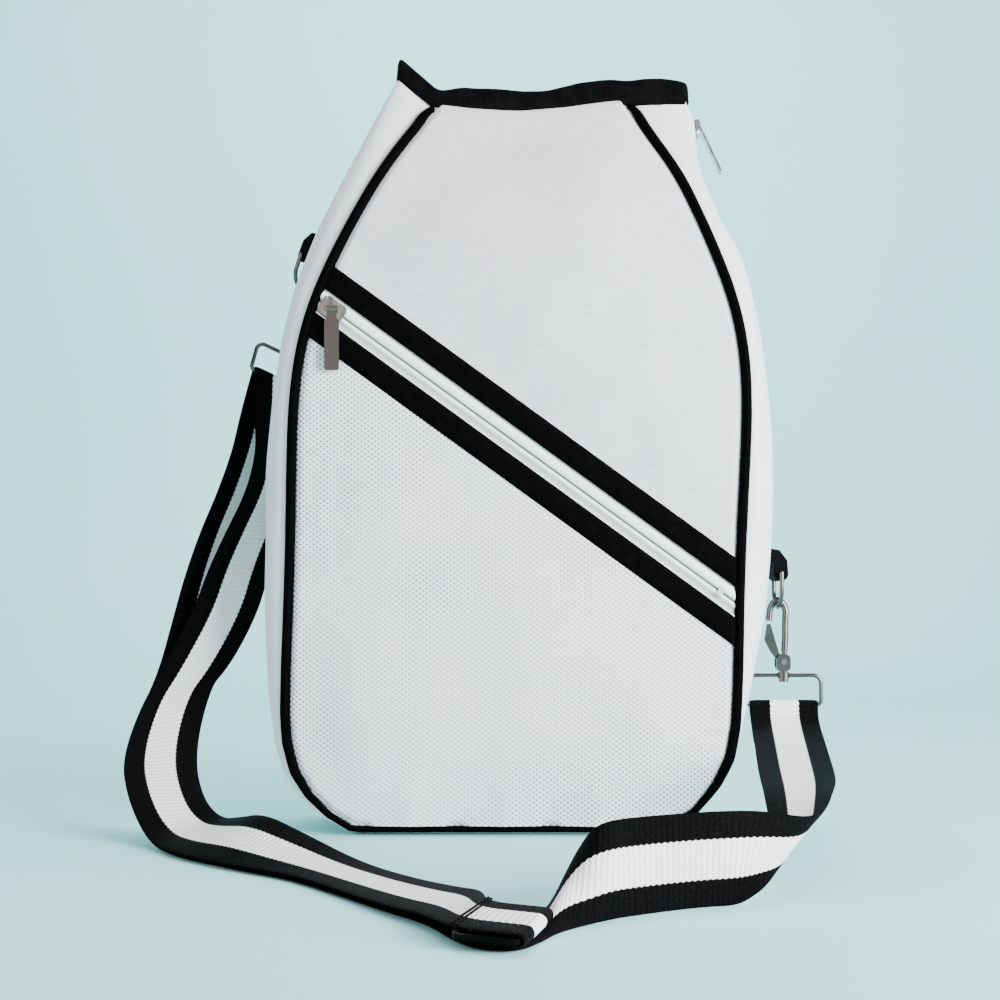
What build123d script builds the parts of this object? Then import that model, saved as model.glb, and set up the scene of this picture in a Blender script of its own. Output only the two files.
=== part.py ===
from build123d import *
import math
import os

os.makedirs("parts", exist_ok=True)

# ---------------------------------------------------------------- case body
height = 411.0            # top of the front and back panels
depth = 75.0              # front face to back face at the base
mouth_depth = 27.0        # front face to back face at the mouth
flat_height = 295.0       # below this the panels are flat and upright
foot_shift = -4.0         # sideways place of the centre line at the base
lean = 13.0               # how far the centre line moves over at the mouth
lean_power = 1.3
skin = 2.0                # fabric with its padding
trim = 1.0                # black band laid over the zip's edges
piping_r = 2.2
piping_gap = 0.8
piping_steps = 30
piping_lift = 0.3
# (height, half width) of the panels' edge, from base to mouth
side_profile = [
    (0.0, 72.0), (3.5, 94.0), (14.5, 108.0), (25.5, 116.5), (36.5, 122.5), (50.0, 126.0),
    (80.0, 127.8), (130.0, 127.3), (200.0, 128.0), (245.0, 127.8), (278.0, 123.6),
    (301.0, 116.8), (334.0, 102.7), (358.0, 91.3), (383.0, 76.8), (411.0, 55.5),
]
corner_stations = 5       # entries of side_profile below the gusset's upright part

# ---------------------------------------------------------------- gusset
left_bulge = [0.0, 0.5, 3.0, 6.0, 8.0, 9.8, 12.6, 16.0, 16.5, 15.0, 15.1, 16.7, 19.0, 19.8, 21.5, 25.0]
corner_bulge = [0.0, 0.3, 1.0, 2.0, 3.8]
left_ear = (-68.4, 427.2)          # top of the left gusset's centre line (x, z)
arc_centre = (-337.7, 193.6)       # the right gusset's centre line is an arc about this (x, z)
arc_r = 486.5
right_ear_z = 417.0
shoulder = 0.87                    # share of the bulge reached a third of the way in
shoulder_at = 0.55
zip_half = 7.5                     # half width of the side zip, tapes and all

# ---------------------------------------------------------------- zips
slit = 0.6                         # half the slit between two tapes
tape = 1.2
coil = 1.6
coil_width = 2.6
front_zip_at = (-8.8, 222.9)       # a point on the front zip's centre line (x, z)
front_zip_slope = 36.0
front_zip_half = 6.8               # half of what shows between the two bands
front_tape_half = 8.0
band_edge = 20.0
front_slider_s = -114.0            # slider's place along the zip
front_stop_s = 146.0
side_slider_z = 403.0
side_stop_z = 62.0
web_half = 0.35
pull_pin_r = 0.8
pull_bore_r = 0.88

# ---------------------------------------------------------------- hardware
webbing = 40.0
strap_t = 1.6
ring_inner = 42.0
ring_r = 1.2
ring_drop = 17.4
collar_r = 3.4
shank_r = 1.6
shank_bore_r = 1.67
d_wire_r = 1.3
d_half = 11.9
d_drop = 19.5
tab_bore_r = 1.4
tab_r = 4.2
tab_half = 10.0
eye = (-3.4, 40.4)                 # where the D-ring's wire sits in the hook (x, z)
pivot = (-0.6, 8.0)                # the gate's rivet (x, z)
right_collar = (159.3, 22.0, 85.4)
left_collar = (-136.0, 37.0, 277.0)
left_hook_yaw = -35.0
left_hook_tilt = 13.0
left_d_tilt = 25.0
left_ring_yaw = 40.0
left_ring_tilt = 17.0


def centre_x(z):
    return foot_shift + lean * (z / height) ** lean_power


def edge_points(side, inset):
    """Points of the panel's edge, side +1 right or -1 left, moved in by inset."""
    raw = [(centre_x(z) + side * w, z) for z, w in side_profile]
    points = []
    for i, (x, z) in enumerate(raw):
        if i == 0:
            tx, tz = side, 0.0
        else:
            nxt = raw[min(i + 1, len(raw) - 1)]
            tx, tz = nxt[0] - raw[i - 1][0], nxt[1] - raw[i - 1][1]
        size = math.hypot(tx, tz)
        nx, nz = side * tz / size, -side * tx / size
        points.append((x - nx * inset, z - nz * inset))
    top_x = points[-1][0]
    points[-1] = (top_x, height)
    return points


def smooth(points, steps):
    """Catmull-Rom run through the points, kept from dipping below them."""
    out = []
    for i in range(len(points) - 1):
        p0, p1 = Vector(*points[max(i - 1, 0)]), Vector(*points[i])
        p2, p3 = Vector(*points[i + 1]), Vector(*points[min(i + 2, len(points) - 1)])
        for k in range(steps):
            t = k / steps
            a = p1 * 2 + (p2 - p0) * t
            b = (p0 * 2 - p1 * 5 + p2 * 4 - p3) * (t * t)
            c = (p1 * 3 - p0 - p2 * 3 + p3) * (t * t * t)
            at = (a + b + c) * 0.5
            out.append((at.X, at.Y, max(at.Z, min(p1.Z, p2.Z))))
    out.append(tuple(Vector(*points[-1])))
    return out


def fine_edge(side, inset):
    """The panel's edge as a close run of points (x, z)."""
    return [(x, z) for x, _, z in smooth([(x, 0, z) for x, z in edge_points(side, inset)], 3)]


def normal_at(side, i):
    """Outward direction of the panel's edge at a station."""
    outer = edge_points(side, 0.0)[i]
    inner = edge_points(side, 1.0)[i]
    return outer[0] - inner[0], outer[1] - inner[1]


lift = height - flat_height
setback = (depth - mouth_depth) / 2
front_r = (lift ** 2 + setback ** 2) / (2 * setback)


def half_depth(z):
    if z <= flat_height:
        return depth / 2
    return depth / 2 - front_r + math.sqrt(front_r ** 2 - (z - flat_height) ** 2)


def panel_face(inset):
    """Outline of a panel, drawn in the XZ plane."""
    right = fine_edge(1, inset)
    left = fine_edge(-1, inset)
    with BuildSketch(Plane.XZ) as face:
        with BuildLine():
            Polyline(*right, *left[::-1], close=True)
        make_face()
    return face.sketch


def slab(near, far, top=height + 4):
    """Side profile of a layer that lies near..far inside the front face, drawn in the YZ plane."""
    face = -depth / 2 + trim
    up = top - flat_height
    lines = []
    for inset in (near, far):
        r = front_r - inset
        y0 = face + inset
        sag = r - math.sqrt(r ** 2 - up ** 2)
        half = up / 2
        sag_half = r - math.sqrt(r ** 2 - half ** 2)
        lines.append([(y0, 0), (y0, flat_height), (y0 + sag_half, flat_height + half), (y0 + sag, top)])
    a, b = lines
    with BuildSketch(Plane.YZ) as face:
        with BuildLine():
            Line(a[0], a[1])
            ThreePointArc(a[1], a[2], a[3])
            Line(a[3], b[3])
            ThreePointArc(b[3], b[2], b[1])
            Line(b[1], b[0])
            Line(b[0], a[0])
        make_face()
    return face.sketch


c36 = math.cos(math.radians(front_zip_slope))
s36 = math.sin(math.radians(front_zip_slope))
zip_front = Plane(
    origin=(front_zip_at[0], -depth / 2 + trim, front_zip_at[1]),
    x_dir=(c36, 0, -s36), z_dir=(0, -1, 0),
)
reach = 400.0


def strip(low, high):
    """Stretch of the front face between two lines beside the zip."""
    with BuildSketch(zip_front) as face:
        with Locations((0, (low + high) / 2)):
            Rectangle(2 * reach, high - low)
    return face.sketch


def front_layer(near, far, inset, low, high, top=height + 4):
    """One layer of the front, cut to the panel's outline and to a band beside the zip."""
    with BuildPart() as layer:
        extrude(slab(near, far, top), amount=depth * 3, both=True)
        extrude(strip(low, high), amount=depth, both=True, mode=Mode.INTERSECT)
        extrude(panel_face(inset), amount=depth, both=True, mode=Mode.INTERSECT)
    return layer


edge_inset = 2 * piping_r + piping_gap
front_upper_panel = front_layer(0, skin, edge_inset, front_tape_half, reach)
front_pocket_panel = front_layer(0, skin, edge_inset, -reach, -front_tape_half)
upper_trim_band = front_layer(-trim, 0, edge_inset, front_zip_half, band_edge)
lower_trim_band = front_layer(-trim, 0, edge_inset, -band_edge, -front_zip_half)
front_tape_upper = front_layer(0, tape, edge_inset, slit, front_tape_half)
front_tape_lower = front_layer(0, tape, edge_inset, -front_tape_half, -slit)

lining_near = 8.0
lining_far = 9.5
pocket_lining = front_layer(lining_near, lining_far, edge_inset + 2, -reach, band_edge, 330.0)

with BuildPart() as front_zip_coil:
    with BuildSketch(zip_front.offset(-tape)):
        with Locations((10, slit + coil_width / 2), (10, -slit - coil_width / 2)):
            Rectangle(2 * front_stop_s - 12, coil_width)
    extrude(amount=-coil)
    extrude(panel_face(edge_inset), amount=depth, both=True, mode=Mode.INTERSECT)

with BuildPart() as front_zip_stop:
    with BuildSketch(zip_front):
        with Locations((front_stop_s + 4, 0)):
            Rectangle(3, 5)
    extrude(amount=1.2)

# back of the case: the same layers turned round
with BuildPart() as back_panel:
    extrude(slab(0, skin), amount=depth * 3, both=True)
    mirror(about=Plane.XZ, mode=Mode.REPLACE)
    extrude(panel_face(edge_inset), amount=depth, both=True, mode=Mode.INTERSECT)

pad = 5.0
pad_top = 330.0
with BuildPart() as back_pad:
    extrude(slab(skin + 0.2, skin + 0.2 + pad, pad_top), amount=depth * 3, both=True)
    mirror(about=Plane.XZ, mode=Mode.REPLACE)
    extrude(panel_face(edge_inset + 5), amount=depth, both=True, mode=Mode.INTERSECT)

# ---------------------------------------------------------------- gusset solids
seam = 4.9                # the gusset starts this far behind the panel's face


def section(at, out, d, b, t=skin):
    """Outer and inner corner points across the gusset: a list of (outward, y) pairs."""
    shoulder_y = zip_half + (d - zip_half) * shoulder_at
    outer = [(-1.0, -d), (shoulder * b, -shoulder_y), (b, -zip_half)]
    inner = []
    for i, (u, y) in enumerate(outer):
        before = outer[max(i - 1, 0)]
        after = outer[i + 1] if i + 1 < len(outer) else (b, 0.0)
        du, dy = after[0] - before[0], after[1] - before[1]
        size = math.hypot(du, dy)
        inner.append((u - t * dy / size, y + t * du / size))
    inner[0] = (inner[0][0], outer[0][1])
    inner[2] = (b - t, -zip_half)
    return outer, inner


def place(at, out, pairs):
    return [Vector(at[0] + u * out[0], y, at[1] + u * out[1]) for u, y in pairs]


def flipped(pairs):
    return [(u, -y) for u, y in pairs[::-1]]


def whole_section(station):
    at, out, d, b = station
    outer, inner = section(at, out, d, b)
    ring = outer + flipped(outer) + (inner + flipped(inner))[::-1]
    return Face(Wire.make_polygon(place(at, out, ring), close=True))


def half_section(station, turn):
    at, out, d, b = station
    outer, inner = section(at, out, d, b)
    ring = outer + inner[::-1]
    if turn:
        ring = [(u, -y) for u, y in ring]
    return Face(Wire.make_polygon(place(at, out, ring), close=True))


def arc_x(z):
    return arc_centre[0] + math.sqrt(arc_r ** 2 - (z - arc_centre[1]) ** 2)


def left_station(i):
    x, z = edge_points(-1, 0.0)[i]
    out = normal_at(-1, i)
    b = left_bulge[i]
    if i == len(side_profile) - 1:
        dx, dz = left_ear[0] - x, left_ear[1] - z
        b = math.hypot(dx, dz)
        out = (dx / b, dz / b)
    return (x, z), out, half_depth(z) - seam, b


def right_station(i):
    x, z = edge_points(1, 0.0)[i]
    if i < corner_stations:
        return (x, z), normal_at(1, i), half_depth(z) - seam, corner_bulge[i]
    tip_z = right_ear_z if i == len(side_profile) - 1 else z
    dx, dz = arc_x(tip_z) - x, tip_z - z
    b = math.hypot(dx, dz)
    return (x, z), (dx / b, dz / b), half_depth(z) - seam, b


upright = range(corner_stations, len(side_profile))
with BuildPart() as gusset_left:
    loft(sections=[whole_section(left_station(i)) for i in upright], ruled=True)
base_stations = [left_station(i) for i in range(corner_stations, -1, -1)]
base_stations += [right_station(i) for i in range(corner_stations + 1)]
with BuildPart() as gusset_base:
    loft(sections=[whole_section(s) for s in base_stations], ruled=True)
with BuildPart() as gusset_right_front:
    loft(sections=[half_section(right_station(i), False) for i in upright], ruled=True)
with BuildPart() as gusset_right_back:
    loft(sections=[half_section(right_station(i), True) for i in upright], ruled=True)


def arc_angle(z):
    return math.degrees(math.asin((z - arc_centre[1]) / arc_r))


def arc_band(r_out, r_in, z_low, z_high):
    """Curved strip along the side zip, drawn in the XZ plane."""
    start = arc_angle(z_low)
    sweep_angle = arc_angle(z_high) - start
    with BuildSketch(Plane.XZ) as face:
        with BuildLine():
            a = CenterArc(arc_centre, r_out, start, sweep_angle)
            b = CenterArc(arc_centre, r_in, start, sweep_angle)
            Line(a @ 0, b @ 0)
            Line(a @ 1, b @ 1)
        make_face()
    return face.sketch


def zip_strip(r_out, r_in, y_low, y_high, z_low, z_high):
    with BuildPart() as piece:
        extrude(Pos(0, y_high, 0) * arc_band(r_out, r_in, z_low, z_high), amount=y_high - y_low)
    return piece


zip_low = side_profile[corner_stations][0]
side_tape_front = zip_strip(arc_r, arc_r - tape, -zip_half, -slit, zip_low, right_ear_z)
side_tape_back = zip_strip(arc_r, arc_r - tape, slit, zip_half, zip_low, right_ear_z)
coil_back = zip_strip(arc_r - tape, arc_r - tape - coil, slit, slit + coil_width, zip_low, right_ear_z)
with BuildPart() as side_zip_coil:
    add(coil_back.part)
    mirror(about=Plane.XZ)
side_zip_stop = zip_strip(arc_r + 1.2, arc_r, -2.5, 2.5, side_stop_z - 5, side_stop_z - 2)

with BuildPart() as base_board:
    with BuildSketch(Plane.XY.offset(skin + 1.3)):
        with Locations((centre_x(0), 0)):
            RectangleRounded(128, 52, 6)
    extrude(amount=2)

# ---------------------------------------------------------------- piping
def piping_path():
    right = edge_points(1, piping_r)
    left = edge_points(-1, piping_r)

    def put(x, z):
        return (x, -half_depth(z) + 2.5, z + piping_lift)

    start = [put(*p) for p in left[::-1]]
    end = [put(*p) for p in right]
    first = tuple(start[1][k] - start[0][k] for k in range(3))
    last = tuple(end[-1][k] - end[-2][k] for k in range(3))
    return [
        Edge.make_spline([Vector(*p) for p in start], tangents=[Vector(*first), Vector(1, 0, 0)]),
        Edge.make_line(start[-1], end[0]),
        Edge.make_spline([Vector(*p) for p in end], tangents=[Vector(1, 0, 0), Vector(*last)]),
    ]


with BuildPart() as front_piping:
    for run in piping_path():
        rounds = []
        for k in range(piping_steps + 1):
            t = k / piping_steps
            at = Plane(origin=run @ t, x_dir=(0, 1, 0), z_dir=run % t)
            rounds.append(Face(Wire.make_circle(piping_r, at)))
        loft(sections=rounds, ruled=True)

with BuildPart() as back_piping:
    add(front_piping.part)
    mirror(about=Plane.XZ, mode=Mode.REPLACE)

# ---------------------------------------------------------------- mouth binding
binding_h = 11.0
binding_half = 1.5
edge_y = mouth_depth / 2 - 2.0
left_x = edge_points(-1, 2.2)[-1][0]
right_x = edge_points(1, 2.2)[-1][0]
rim_z = height + 0.2
rim = [
    (left_x, -edge_y, rim_z), (right_x, -edge_y, rim_z), (arc_x(right_ear_z) - 1, 0, right_ear_z + 0.6),
    (right_x, edge_y, rim_z), (left_x, edge_y, rim_z), (left_ear[0] + 1, 0, left_ear[1] + 0.6),
]


def rim_quad(i):
    """Upright section of the binding at a corner of the mouth, on the corner's bisector."""
    x, y, z = rim[i]
    before, after = rim[i - 1], rim[(i + 1) % len(rim)]
    ax, ay = x - before[0], y - before[1]
    bx, by = after[0] - x, after[1] - y
    la, lb = math.hypot(ax, ay), math.hypot(bx, by)
    nx, ny = ay / la + by / lb, -ax / la - bx / lb
    size = math.hypot(nx, ny)
    nx, ny = nx / size, ny / size
    wide = binding_half / max(0.5, nx * ay / la - ny * ax / la)
    ends = [(x + nx * wide * k, y + ny * wide * k) for k in (-1, 1)]
    (x0, y0), (x1, y1) = ends
    return Face(Wire.make_polygon([
        (x0, y0, z), (x1, y1, z), (x1, y1, z + binding_h), (x0, y0, z + binding_h)], close=True))


with BuildPart() as top_binding:
    for i in range(len(rim)):
        loft(sections=[rim_quad(i), rim_quad((i + 1) % len(rim))], ruled=True)


# ---------------------------------------------------------------- zip sliders
def slider(plane, pin_dir):
    """Zip slider on a tape: z = 0 of the plane is the tape's outer face, +z is outward."""
    pin_z = 3.6
    with BuildPart() as body:
        with BuildSketch(plane.offset(0.35)):
            RectangleRounded(15, 10.5, 3)
        extrude(amount=1.4)
        with BuildSketch(plane.offset(-tape - coil - 0.3)):
            RectangleRounded(15, 10.5, 3)
        extrude(amount=-1.2)
        with BuildSketch(plane.offset(-tape - coil - 1.5)):
            with Locations((-5, 0)):
                Rectangle(4, 2 * web_half)
        extrude(amount=tape + coil + 1.5 + 1.75)
        lugs = Plane(origin=plane.offset(1.7).origin, x_dir=pin_dir, z_dir=plane.z_dir)
        with BuildSketch(lugs):
            with Locations((-3.7, 0), (3.7, 0)):
                Rectangle(1.0, 3.0)
        extrude(amount=3.2)
        side = Plane(origin=plane.offset(pin_z).origin, x_dir=plane.z_dir, z_dir=pin_dir)
        with BuildSketch(side.offset(-4.2)):
            Circle(pull_pin_r)
        extrude(amount=8.4)
    return body


def pull(plane, pin_dir, down, length, width):
    """Flat pull hanging from the slider's pin, along the direction down."""
    pin_z = 3.6
    pin_at = plane.offset(pin_z).origin
    side = Plane(origin=pin_at, x_dir=plane.z_dir, z_dir=pin_dir)
    with BuildPart() as body:
        with BuildSketch(side.offset(-2.9)):
            Circle(1.75)
            Circle(pull_bore_r, mode=Mode.SUBTRACT)
        extrude(amount=5.8)
        flat = Plane(origin=pin_at, x_dir=down, z_dir=plane.z_dir)
        with BuildSketch(flat.offset(-0.2)):
            with Locations((1.3 + 3, 0)):
                Rectangle(6, 5.0)
            with Locations((6 + (length - 6) / 2, 0)):
                RectangleRounded(length - 6, width, 1.2)
        extrude(amount=1.2)
    return body


front_slider_plane = Plane(
    origin=zip_front.from_local_coords(Vector(front_slider_s, 0, 0)), x_dir=(c36, 0, -s36), z_dir=(0, -1, 0))
front_zip_slider = slider(front_slider_plane, (1, 0, 0))
front_pull_tab = pull(front_slider_plane, (1, 0, 0), (0, 0, -1), 34.0, 8.0)

side_angle = math.radians(arc_angle(side_slider_z))
side_out = (math.cos(side_angle), 0, math.sin(side_angle))
side_down = (math.sin(side_angle), 0, -math.cos(side_angle))
side_slider_plane = Plane(
    origin=(arc_centre[0] + arc_r * side_out[0], 0, arc_centre[1] + arc_r * side_out[2]),
    x_dir=side_down, z_dir=side_out)
side_zip_slider = slider(side_slider_plane, (0, 1, 0))
side_pull_tab = pull(side_slider_plane, (0, 1, 0), side_down, 32.0, 6.0)

# ---------------------------------------------------------------- hook, ring and D-ring, drawn once
with BuildPart() as hook_shape:
    with BuildLine(Plane.XZ):
        spine = Spline((0.3, 10.0), (0.9, 24.0), (1.0, 34.0), (0.6, 40.4), (-3.4, 44.5),
                       (-7.4, 40.8), (-8.4, 36.0), (-8.8, 32.2))
    with BuildSketch(Plane(origin=spine @ 0, z_dir=spine % 0)):
        Circle(1.9)
    sweep(path=spine)
    with BuildSketch(Plane.XZ.offset(-3.4)):
        with Locations((-0.6, 7.4)):
            RectangleRounded(8.4, 10.2, 3)
    extrude(amount=6.8)
    with BuildSketch(Plane.XZ.offset(-1.9)):
        with Locations(pivot):
            Circle(3.0)
        with Locations((-4.4, 9.6)):
            Rectangle(6.6, 9.0)
    extrude(amount=3.8, mode=Mode.SUBTRACT)
    with BuildSketch(Plane.XZ.offset(-4)):
        with Locations(pivot):
            Circle(1.0)
    extrude(amount=8, mode=Mode.SUBTRACT)
    with BuildSketch(Plane.XY.offset(-2.4)):
        Circle(shank_r)
    extrude(amount=5)
    with BuildSketch(Plane.XY.offset(-3.9)):
        Circle(2.7)
    extrude(amount=1.6)

with BuildPart() as gate_shape:
    with BuildSketch(Plane.XZ.offset(-0.3)):
        with Locations(pivot):
            Circle(2.3)
        Polygon((-2.6, 7.0), (-1.6, 10.0), (-3.1, 14.0), (-5.6, 22.0), (-7.9, 30.4),
                (-10.0, 30.4), (-11.6, 21.0), (-8.0, 14.0), align=None)
        with Locations(pivot):
            Circle(1.08, mode=Mode.SUBTRACT)
    extrude(amount=2.0)

with BuildPart() as rivet_shape:
    with BuildSketch(Plane.XZ.offset(-4.0)):
        with Locations(pivot):
            Circle(1.0)
    extrude(amount=8.0)
    with BuildSketch(Plane.XZ.offset(3.4), Plane.XZ.offset(-4.0)):
        with Locations(pivot):
            Circle(1.7)
    extrude(amount=0.6)

with BuildPart() as spring_shape:
    with BuildSketch(Plane.XZ.offset(-1.7)):
        with Locations(pivot):
            Circle(1.9)
            Circle(1.2, mode=Mode.SUBTRACT)
    extrude(amount=1.2)

ring_half = ring_inner / 2 + ring_r
with BuildSketch(Plane.XZ) as ring_outline:
    with Locations((0, -ring_drop / 2)):
        Rectangle(2 * ring_half, ring_drop)
    fillet(ring_outline.vertices().sort_by(Axis.Y)[:2], 2.6)
    fillet(ring_outline.vertices().sort_by(Axis.Y)[-2:], 5)
ring_path = ring_outline.sketch.faces()[0].outer_wire()
with BuildPart() as ring_shape:
    with BuildSketch(Plane(origin=ring_path @ 0, z_dir=ring_path % 0)):
        Circle(ring_r)
    sweep(path=ring_path)

with BuildPart() as d_ring_shape:
    with BuildLine(Plane.YZ):
        Line((0, 0), (d_half, 0))
        Line((d_half, 0), (d_half, d_half - d_drop))
        ThreePointArc((d_half, d_half - d_drop), (0, -d_drop), (-d_half, d_half - d_drop))
        Line((-d_half, d_half - d_drop), (-d_half, 0))
        Line((-d_half, 0), (0, 0))
    with BuildSketch(Plane.XZ):
        Circle(d_wire_r)
    sweep(transition=Transition.RIGHT)


def collar(part_here):
    """Ring with its swivel collar: the ring's own place and the hook's place differ."""
    ring_loc, hook_loc = part_here
    boss = hook_loc * Cylinder(collar_r, 4.0)
    bore = hook_loc * Cylinder(shank_bore_r, 8.0)
    return ring_loc * ring_shape.part + boss - bore


def d_tab(foot):
    """Webbing loop round the D-ring's bar, with a foot that reaches in to the gusset."""
    with BuildPart() as tab:
        with BuildSketch(Plane.XZ.offset(-tab_half)):
            Circle(tab_r)
            Polygon((-tab_r, 0), (tab_r, 0), (tab_r - 0.6, 8.0), (-1.0, 14.0),
                    (-foot, 16.5), (-foot, 10.5), (-tab_r, 6.0), align=None)
            Circle(tab_bore_r, mode=Mode.SUBTRACT)
        extrude(amount=2 * tab_half)
    return tab.part


flip = Plane.YZ
right_hook = Pos(*right_collar)
left_hook = Pos(*left_collar) * Rot(0, 0, left_hook_yaw) * Rot(0, left_hook_tilt, 0)
left_ring = Pos(*left_collar) * Rot(0, 0, left_ring_yaw) * Rot(0, left_ring_tilt, 0)
right_bar = right_hook * Pos(eye[0], 0, eye[1] + d_drop)
left_wire = left_hook * Pos(-eye[0], 0, eye[1])
left_bar = Pos(*left_wire.position) * Rot(0, 0, left_hook_yaw) * Rot(0, left_d_tilt, 0) * Pos(0, 0, d_drop)

nodes = {
    "ring_right": collar((right_hook, right_hook)),
    "ring_left": collar((left_ring, left_hook)),
}
for side, loc in (("right", right_hook), ("left", left_hook)):
    for label, shape in (("hook", hook_shape), ("gate", gate_shape), ("rivet", rivet_shape),
                         ("gate_spring", spring_shape)):
        solid = shape.part if side == "right" else mirror(shape.part, about=flip)
        nodes[label + "_" + side] = loc * solid
for side, loc, foot in (("right", right_bar, 15.0), ("left", left_bar, 19.5)):
    tab = d_tab(foot)
    if side == "left":
        tab = mirror(tab, about=flip)
    tab = loc * tab
    wall = [gusset_right_back.part, side_tape_back.part] if side == "right" else [gusset_left.part]
    for piece in wall:
        tab = tab - piece
    nodes["d_tab_" + side] = Part() + tab.solids().sort_by(SortBy.VOLUME)[-1]
    nodes["d_ring_" + side] = loc * d_ring_shape.part

# ---------------------------------------------------------------- strap
strap_gap = 0.15
loop_r = ring_r + 0.2 + strap_t / 2
low = 0.9                     # a flat strap's middle above the floor
edge_low = 0.4                # a standing strap's lower edge above the floor
slider_lift = 4.7             # tri-glide's middle above the through layer

# the two edges of the through layer, from the right ring to the left ring
through = [
    ((139.3, 19.8, 68.0), (179.3, 19.8, 68.0)),
    ((139.0, 17.5, 61.0), (179.0, 17.5, 61.0)),
    ((138.0, 8.0, 56.0), (178.0, 8.0, 56.0)),
    ((134.7, -16.7, 51.0), (174.5, -16.7, 51.0)),
    ((125.4, -79.0, 41.6), (165.2, -77.0, 41.9)),
    ((117.0, -146.0, 36.0), (153.5, -131.0, 39.6)),
    ((102.9, -209.5, low), (145.0, -174.0, 39.3)),
    ((94.0, -212.0, edge_low), (98.0, -204.0, 39.6)),
    ((75.6, -215.3, edge_low), (76.0, -214.0, 40.3)),
    ((48.8, -230.0, edge_low), (48.0, -226.0, 40.2)),
    ((31.6, -240.7, edge_low), (32.8, -239.5, 40.3)),
    ((14.7, -257.5, 0.8), (22.0, -226.5, 25.0)),
    ((6.3, -277.0, low), (12.0, -238.5, 6.0)),
    ((-1.5, -290.0, low), (3.0, -250.5, 2.5)),
    ((-14.0, -290.0, low), (-2.0, -252.0, 2.5)),
    ((-25.0, -279.0, low), (-8.0, -243.0, 4.0)),
    ((-38.0, -247.0, low), (-16.0, -214.0, 3.5)),
    ((-56.0, -226.0, low), (-25.0, -201.0, 3.0)),
    ((-78.6, -195.6, low), (-46.0, -173.0, 1.2)),
    ((-106.0, -159.0, low), (-76.0, -133.0, 1.2)),
    ((-132.6, -140.0, low), (-108.0, -110.0, 13.0)),
    ((-150.0, -125.0, low), (-127.0, -98.0, 20.0)),
    ((-170.0, -106.0, low), (-144.0, -78.0, 14.5)),
    ((-194.0, -70.0, 2.5), (-156.0, -62.0, 11.0)),
    ((-208.5, -55.0, 22.0), (-169.0, -52.0, 20.0)),
    ((-220.0, -24.0, 38.0), (-181.0, -20.0, 42.0)),
    ((-216.5, 2.0, 66.0), (-178.5, 6.0, 76.0)),
    ((-207.0, 9.0, 90.0), (-168.5, 15.0, 95.0)),
    ((-200.0, 14.0, 122.0), (-164.0, 31.0, 126.0)),
    ((-194.0, 18.0, 147.0), (-163.0, 43.0, 150.0)),
    ((-186.0, 20.0, 171.0), (-157.0, 47.5, 173.0)),
    ((-176.0, 22.0, 195.0), (-148.0, 50.5, 196.0)),
    ((-168.0, 24.0, 219.0), (-141.0, 53.5, 219.0)),
    ((-163.5, 23.5, 237.0), (-136.0, 51.0, 234.0)),
]
# the return layer above its flat stretch, from there to the left ring
return_upper = [
    ((-204.5, 3.0, 89.0), (-165.5, 8.0, 93.0)),
    ((-187.5, 6.0, 122.0), (-151.5, 23.0, 125.0)),
    ((-179.0, 6.5, 147.0), (-147.0, 30.5, 148.5)),
    ((-168.0, 8.0, 171.0), (-139.6, 36.0, 172.0)),
    ((-157.5, 12.5, 194.0), (-131.0, 42.5, 195.0)),
    ((-152.5, 16.5, 218.0), (-126.0, 46.5, 218.0)),
    ((-153.5, 18.5, 237.0), (-125.0, 45.5, 234.0)),
]
slider_station = 14
glide_turn = -1                # side of the tri-glide's bar the strap's end turns round
join_station = 26


def vec(p):
    return Vector(*p)


def ribbon_normal(pairs, i):
    """Direction out of the ribbon's face at a station."""
    before, after = pairs[max(i - 1, 0)], pairs[min(i + 1, len(pairs) - 1)]
    along = vec(after[0]) + vec(after[1]) - vec(before[0]) - vec(before[1])
    across = vec(pairs[i][1]) - vec(pairs[i][0])
    return across.cross(along).normalized()


def ribbon(pairs, steps=3):
    """Flat webbing through pairs of edge points."""
    lefts = smooth([p[0] for p in pairs], steps)
    rights = smooth([p[1] for p in pairs], steps)
    fine = list(zip(lefts, rights))
    faces = []
    for i, (left, right) in enumerate(fine):
        half = ribbon_normal(fine, i) * (strap_t / 2)
        l, r = vec(left), vec(right)
        faces.append(Face(Wire.make_polygon([l - half, r - half, r + half, l + half], close=True)))
    with BuildPart() as strip_part:
        loft(sections=faces, ruled=True)
    return strip_part.part


def lifted(pairs, i, by):
    n = ribbon_normal(pairs, i) * by
    left, right = pairs[i]
    return tuple(vec(left) + n), tuple(vec(right) + n)


def half_loop(start, across, top, r):
    """Half turn of webbing round a bar: start is the bar's end, across its run, top the bulge's side."""
    plane = Plane(origin=start, x_dir=top, z_dir=across)
    with BuildPart() as turn:
        with BuildSketch(plane):
            Circle(r + strap_t / 2)
            Circle(r - strap_t / 2, mode=Mode.SUBTRACT)
            with Locations((-r * 2, 0)):
                Rectangle(r * 4, r * 4, mode=Mode.SUBTRACT)
        extrude(amount=webbing)
    return turn.part


def local(loc, x, y, z):
    return (loc * Pos(x, y, z)).position


# right end: over the ring's lower bar, with the tail sewn down behind
right_bar_end = local(right_hook, -webbing / 2, 0, -ring_drop)
right_loop = half_loop(right_bar_end, (1, 0, 0), (0, 0, 1), loop_r)
tail_right = [((139.3, 24.5, 68.0), (179.3, 24.5, 68.0)), ((139.2, 22.4, 62.0), (179.2, 22.4, 62.0))]
tail_right += [lifted(through, i, strap_t + strap_gap) for i in (2,)]
tail_right += [lifted(through, 3, strap_t + strap_gap)]

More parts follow.
